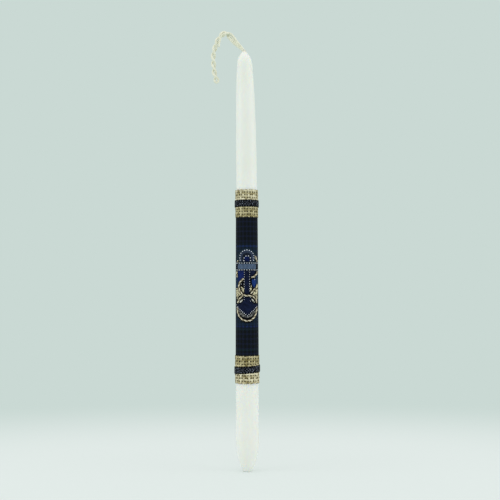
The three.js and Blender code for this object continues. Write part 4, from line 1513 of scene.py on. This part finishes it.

# %% [markdown]
# ## The gold cord
#
# A pale-gold cord is laid round the anchor. It is one cord, but it passes behind the stock, the
# shank, the arms and itself, so it shows in eight lengths. It is three plies with a short lay, so
# the tree that twists the wick makes it too. Where it lies on the felt, and in two lengths on
# the ground, a dark band wider than the cord lies under it and shows as its dark outline.

# %% Cord routes
CORD_RADIUS = 0.75
ON_FELT, ON_GROUND = 0.85, 0.4
CORDS_ON_FELT = {
    "cord_main": [
        (-2.8, 14.3), (-4.4, 13), (-5.9, 11.3), (-6.8, 9.4), (-7.1, 7.2), (-6.8, 4.9),
        (-5.7, 2.5), (-4.2, 0.5), (-2.2, -1), (0, -1.6), (2.2, -1.5), (4.2, -2), (6, -3.1),
        (7.6, -4.7), (8.7, -6.6), (9.2, -8.2),
    ],
    "cord_upper_end": [(3.9, 15.6), (6, 16.4), (8, 17.8), (9.4, 19.5), (10.1, 21.1)],
}
CORDS_ON_GROUND = {
    "cord_left": [(-3.5, -1.4), (-5.4, -3), (-7.1, -4.9), (-8.2, -6.8), (-8.7, -8.3)],
    "cord_loop": [
        (-9, -12.7), (-9.1, -15.4), (-8.4, -18.2), (-7, -20.8), (-5.1, -22.9), (-2.6, -24.5),
        (0.1, -25.1), (2.9, -24.6), (5.3, -22.9), (7.2, -20.6), (8.6, -17.8), (9.3, -15),
        (9.3, -12.6),
    ],
    "cord_tail": [(3.7, 0.2), (4.4, 1.6), (5.5, 3.1), (7.2, 4.9)],
    "cord_side_left": [(-9.8, 15.9), (-9.9, 18.6), (-10.1, 21.3)],
    "cord_ring_left": [(-9.1, 30.2), (-8.8, 30.9), (-8.4, 31.6)],
    "cord_ring_right": [(10, 30.4), (9.6, 32.4), (8.7, 33.9), (8, 35.7)],
}


def flat_route(route):
    return smooth_route([(x, y, 0) for x, y in route], 0.4)[:, :2]


for name, route in (CORDS_ON_FELT | CORDS_ON_GROUND).items():
    print(name, f"shows {length_of(flat_route(route)):.0f} mm")

# %% [markdown]
# The cord is brightest on the crests of its plies and brown in the grooves between them.

# %% The gold finish
gold, gold_surface = finish("gold cord", paint("c2b180"), 0.5, Specular_IOR_Level=0.4,
                            Sheen_Weight=0.05)
gold_place = places(gold_surface)
gold_fibres = noise(gold_surface, gold_place, 0.25 * MM, 2)
gold_patches = noise(gold_surface, gold_place, 2.5 * MM, 1)
gold_tone = (gold_fibres * 0.5 + gold_patches * 0.5).between(0.35, 0.65)
# Painted shade: the first ply of each cord is painted dark brown-gold.
gold_shade = carried(gold_surface, "ply").between(0.3, 0.36) * (0.6 + 0.4 * gold_tone)
colour_with(gold_surface, gold_shade.blend(paint("6f5f3b"), paint("f6efd5")))
colour_with(gold_surface, 0.35 + gold_fibres * 0.25, "Roughness")
raise_with(gold_surface, gold_fibres, 0.06 * MM, 0.6)
dark_outline_felt = felt("dark outline felt", "05060a", "0c0d14")

# %% Lay the gold cord and its outline
def outline_band(flat_line, width, over, thickness):
    """Points and faces of a narrow flat band along a line on the badge."""
    line = evenly(flat_line, 0.6)
    along = heading(line)
    beside = np.column_stack([-along[:, 1], along[:, 0]]) * width / 2
    section = ((-1, over), (-0.8, over + thickness), (0.8, over + thickness), (1, over))
    rails = [on_badge(line + beside * side, height) for side, height in section]
    faces = ring_faces(len(line), len(rails))
    last = (len(line) - 1) * len(rails)
    faces += [(3, 2, 1, 0), (last, last + 1, last + 2, last + 3)]
    return np.stack(rails, axis=1).reshape(-1, 3), [f[::-1] for f in faces]


# A dark band under the cord, wider than it, shows as the cord's dark outline.
OUTLINE_BAND_WIDTH = 3.3

band_points, band_faces = [], []
outlined = [(route, ON_FELT - 0.06, 0.08) for route in CORDS_ON_FELT.values()]
outlined += [(CORDS_ON_GROUND[name], ON_GROUND, 0.47) for name in ("cord_left", "cord_tail")]
for route, over, thickness in outlined:
    points, faces = outline_band(flat_route(route), OUTLINE_BAND_WIDTH, over, thickness)
    band_faces += [tuple(len(band_points) + i for i in face) for face in faces]
    band_points += list(points)
cord_outline = add_piece("badge_cord_outline", band_points, band_faces, dark_outline_felt, "backing",
                         sharp_degrees=50)
cord_lines = [on_badge(flat_route(r), ON_FELT + CORD_RADIUS) for r in CORDS_ON_FELT.values()]
cord_lines += [on_badge(flat_route(r), ON_GROUND + CORD_RADIUS) for r in CORDS_ON_GROUND.values()]
gold_cord = lay_strands("badge_cord", cord_lines, gold, "gold_cord", *CORDS_ON_FELT,
                        *CORDS_ON_GROUND, Plies=3, Ply_Radius=0.35 * MM, Lay_Radius=0.37 * MM,
                        Turn_Length=4.2 * MM, Step=0.3 * MM, Sides=7)
BADGE += [cord_outline, gold_cord]

# %% [markdown]
# The ground is the one sheet of the badge, and everything else is sewn to it.


print("pieces sewn to the ground:", len(BADGE))

# %% [markdown]
# ## Floor, background and light
#
# The candle stands on a pale floor. Round the candle the floor's colour is a little brighter, a
# painted pool of light, and within half a metre it takes the colour of the background slowly, so
# no edge shows, from any side. The background is the world as the camera sees it. The light is
# plain: an even white world and three large soft lamps.

# %% Stage
FLOOR_HALF_WIDTH = 12.0
GLOW_SHARE = 0.4
BACKGROUND = paint("cad9d4")

paper, paper_surface = finish("stage paper", paint("dfe8e5"), 0.9, Specular_IOR_Level=0.0)
flat_spot = places(paper_surface).vector("MULTIPLY", (0.6, 1, 0))
far_share = flat_spot.vector("LENGTH").output("Value").between(0.13, 0.52)
# Painted light: near the candle the floor's colour is brighter, as a painted pool of light.
painted_pool_tone = far_share.blend(paint("e1eae7"), BACKGROUND)
colour_with(paper_surface, painted_pool_tone)


def rays_that_see(wire):
    """1 for rays that show a surface, straight or mirrored, and 0 for rays that carry light."""
    rays = wire.node("ShaderNodeLightPath")
    camera, mirror, through = (rays.output(f"Is {kind} Ray")
                               for kind in ("Camera", "Glossy", "Transmission"))
    return (camera + mirror + through).math("MINIMUM", 1.0)


glow = paper_surface.node("ShaderNodeEmission", {}, {"Color": painted_pool_tone, "Strength": 1.0})
glow_share = rays_that_see(paper_surface) * (GLOW_SHARE + (1 - GLOW_SHARE) * far_share)
even_paper = paper_surface.node("ShaderNodeMixShader", {},
                                {0: glow_share, 1: paper_surface, 2: glow})
paper_end = paper.node_tree.nodes["Material Output"]
paper.node_tree.links.new(even_paper.socket, paper_end.inputs["Surface"])

w = FLOOR_HALF_WIDTH
floor_mesh = bpy.data.meshes.new("stage_floor")
floor_mesh.from_pydata([(-w, -w, 0), (w, -w, 0), (w, w, 0), (-w, w, 0)], [], [(0, 1, 2, 3)])
floor_mesh.materials.append(paper)
stage_floor = bpy.data.objects.new("stage_floor", floor_mesh)
bpy.context.scene.collection.objects.link(stage_floor)
print("the floor is", 2 * w, "m wide")

# %% Light
def softbox(name, place, aim, size, power):
    lamp = bpy.data.lights.new(name, "AREA")
    lamp.shape = "DISK"
    lamp.size = size
    lamp.energy = power
    lamp_object = bpy.data.objects.new(name, lamp)
    lamp_object.location = place
    lamp_object.rotation_mode = "QUATERNION"
    lamp_object.rotation_quaternion = (Vector(aim) - Vector(place)).to_track_quat("-Z", "Y")
    bpy.context.scene.collection.objects.link(lamp_object)
    print(name, "gives", power, "W")


world = bpy.data.worlds.new("even light")
world.use_nodes = True
world.node_tree.nodes.clear()
bpy.context.scene.world = world
sky = Wire(world.node_tree)
white_light = sky.node("ShaderNodeBackground", {}, {"Color": (1, 1, 1, 1), "Strength": 0.86})
seen_colour = sky.node("ShaderNodeBackground", {}, {"Color": BACKGROUND, "Strength": 1.0})
sky_mix = sky.node("ShaderNodeMixShader", {},
                   {0: rays_that_see(sky), 1: white_light, 2: seen_colour})
sky.node("ShaderNodeOutputWorld", {}, {"Surface": sky_mix})
softbox("lamp_left", (-1.1, -0.4, 0.6), (0, 0, 0.2), 0.9, 2.4)
softbox("lamp_right", (1.1, -0.35, 0.5), (0, 0, 0.2), 0.9, 2.3)
softbox("lamp_top", (0, -0.5, 1.3), (0, 0, 0.1), 0.9, 1.2)
bpy.context.scene.view_settings.view_transform = "Standard"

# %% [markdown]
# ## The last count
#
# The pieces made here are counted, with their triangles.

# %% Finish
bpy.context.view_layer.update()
triangles = sum(len(p.data.loops) - 2 * len(p.data.polygons) for p in MADE)
print("pieces made:", len(MADE), "triangles:", triangles)
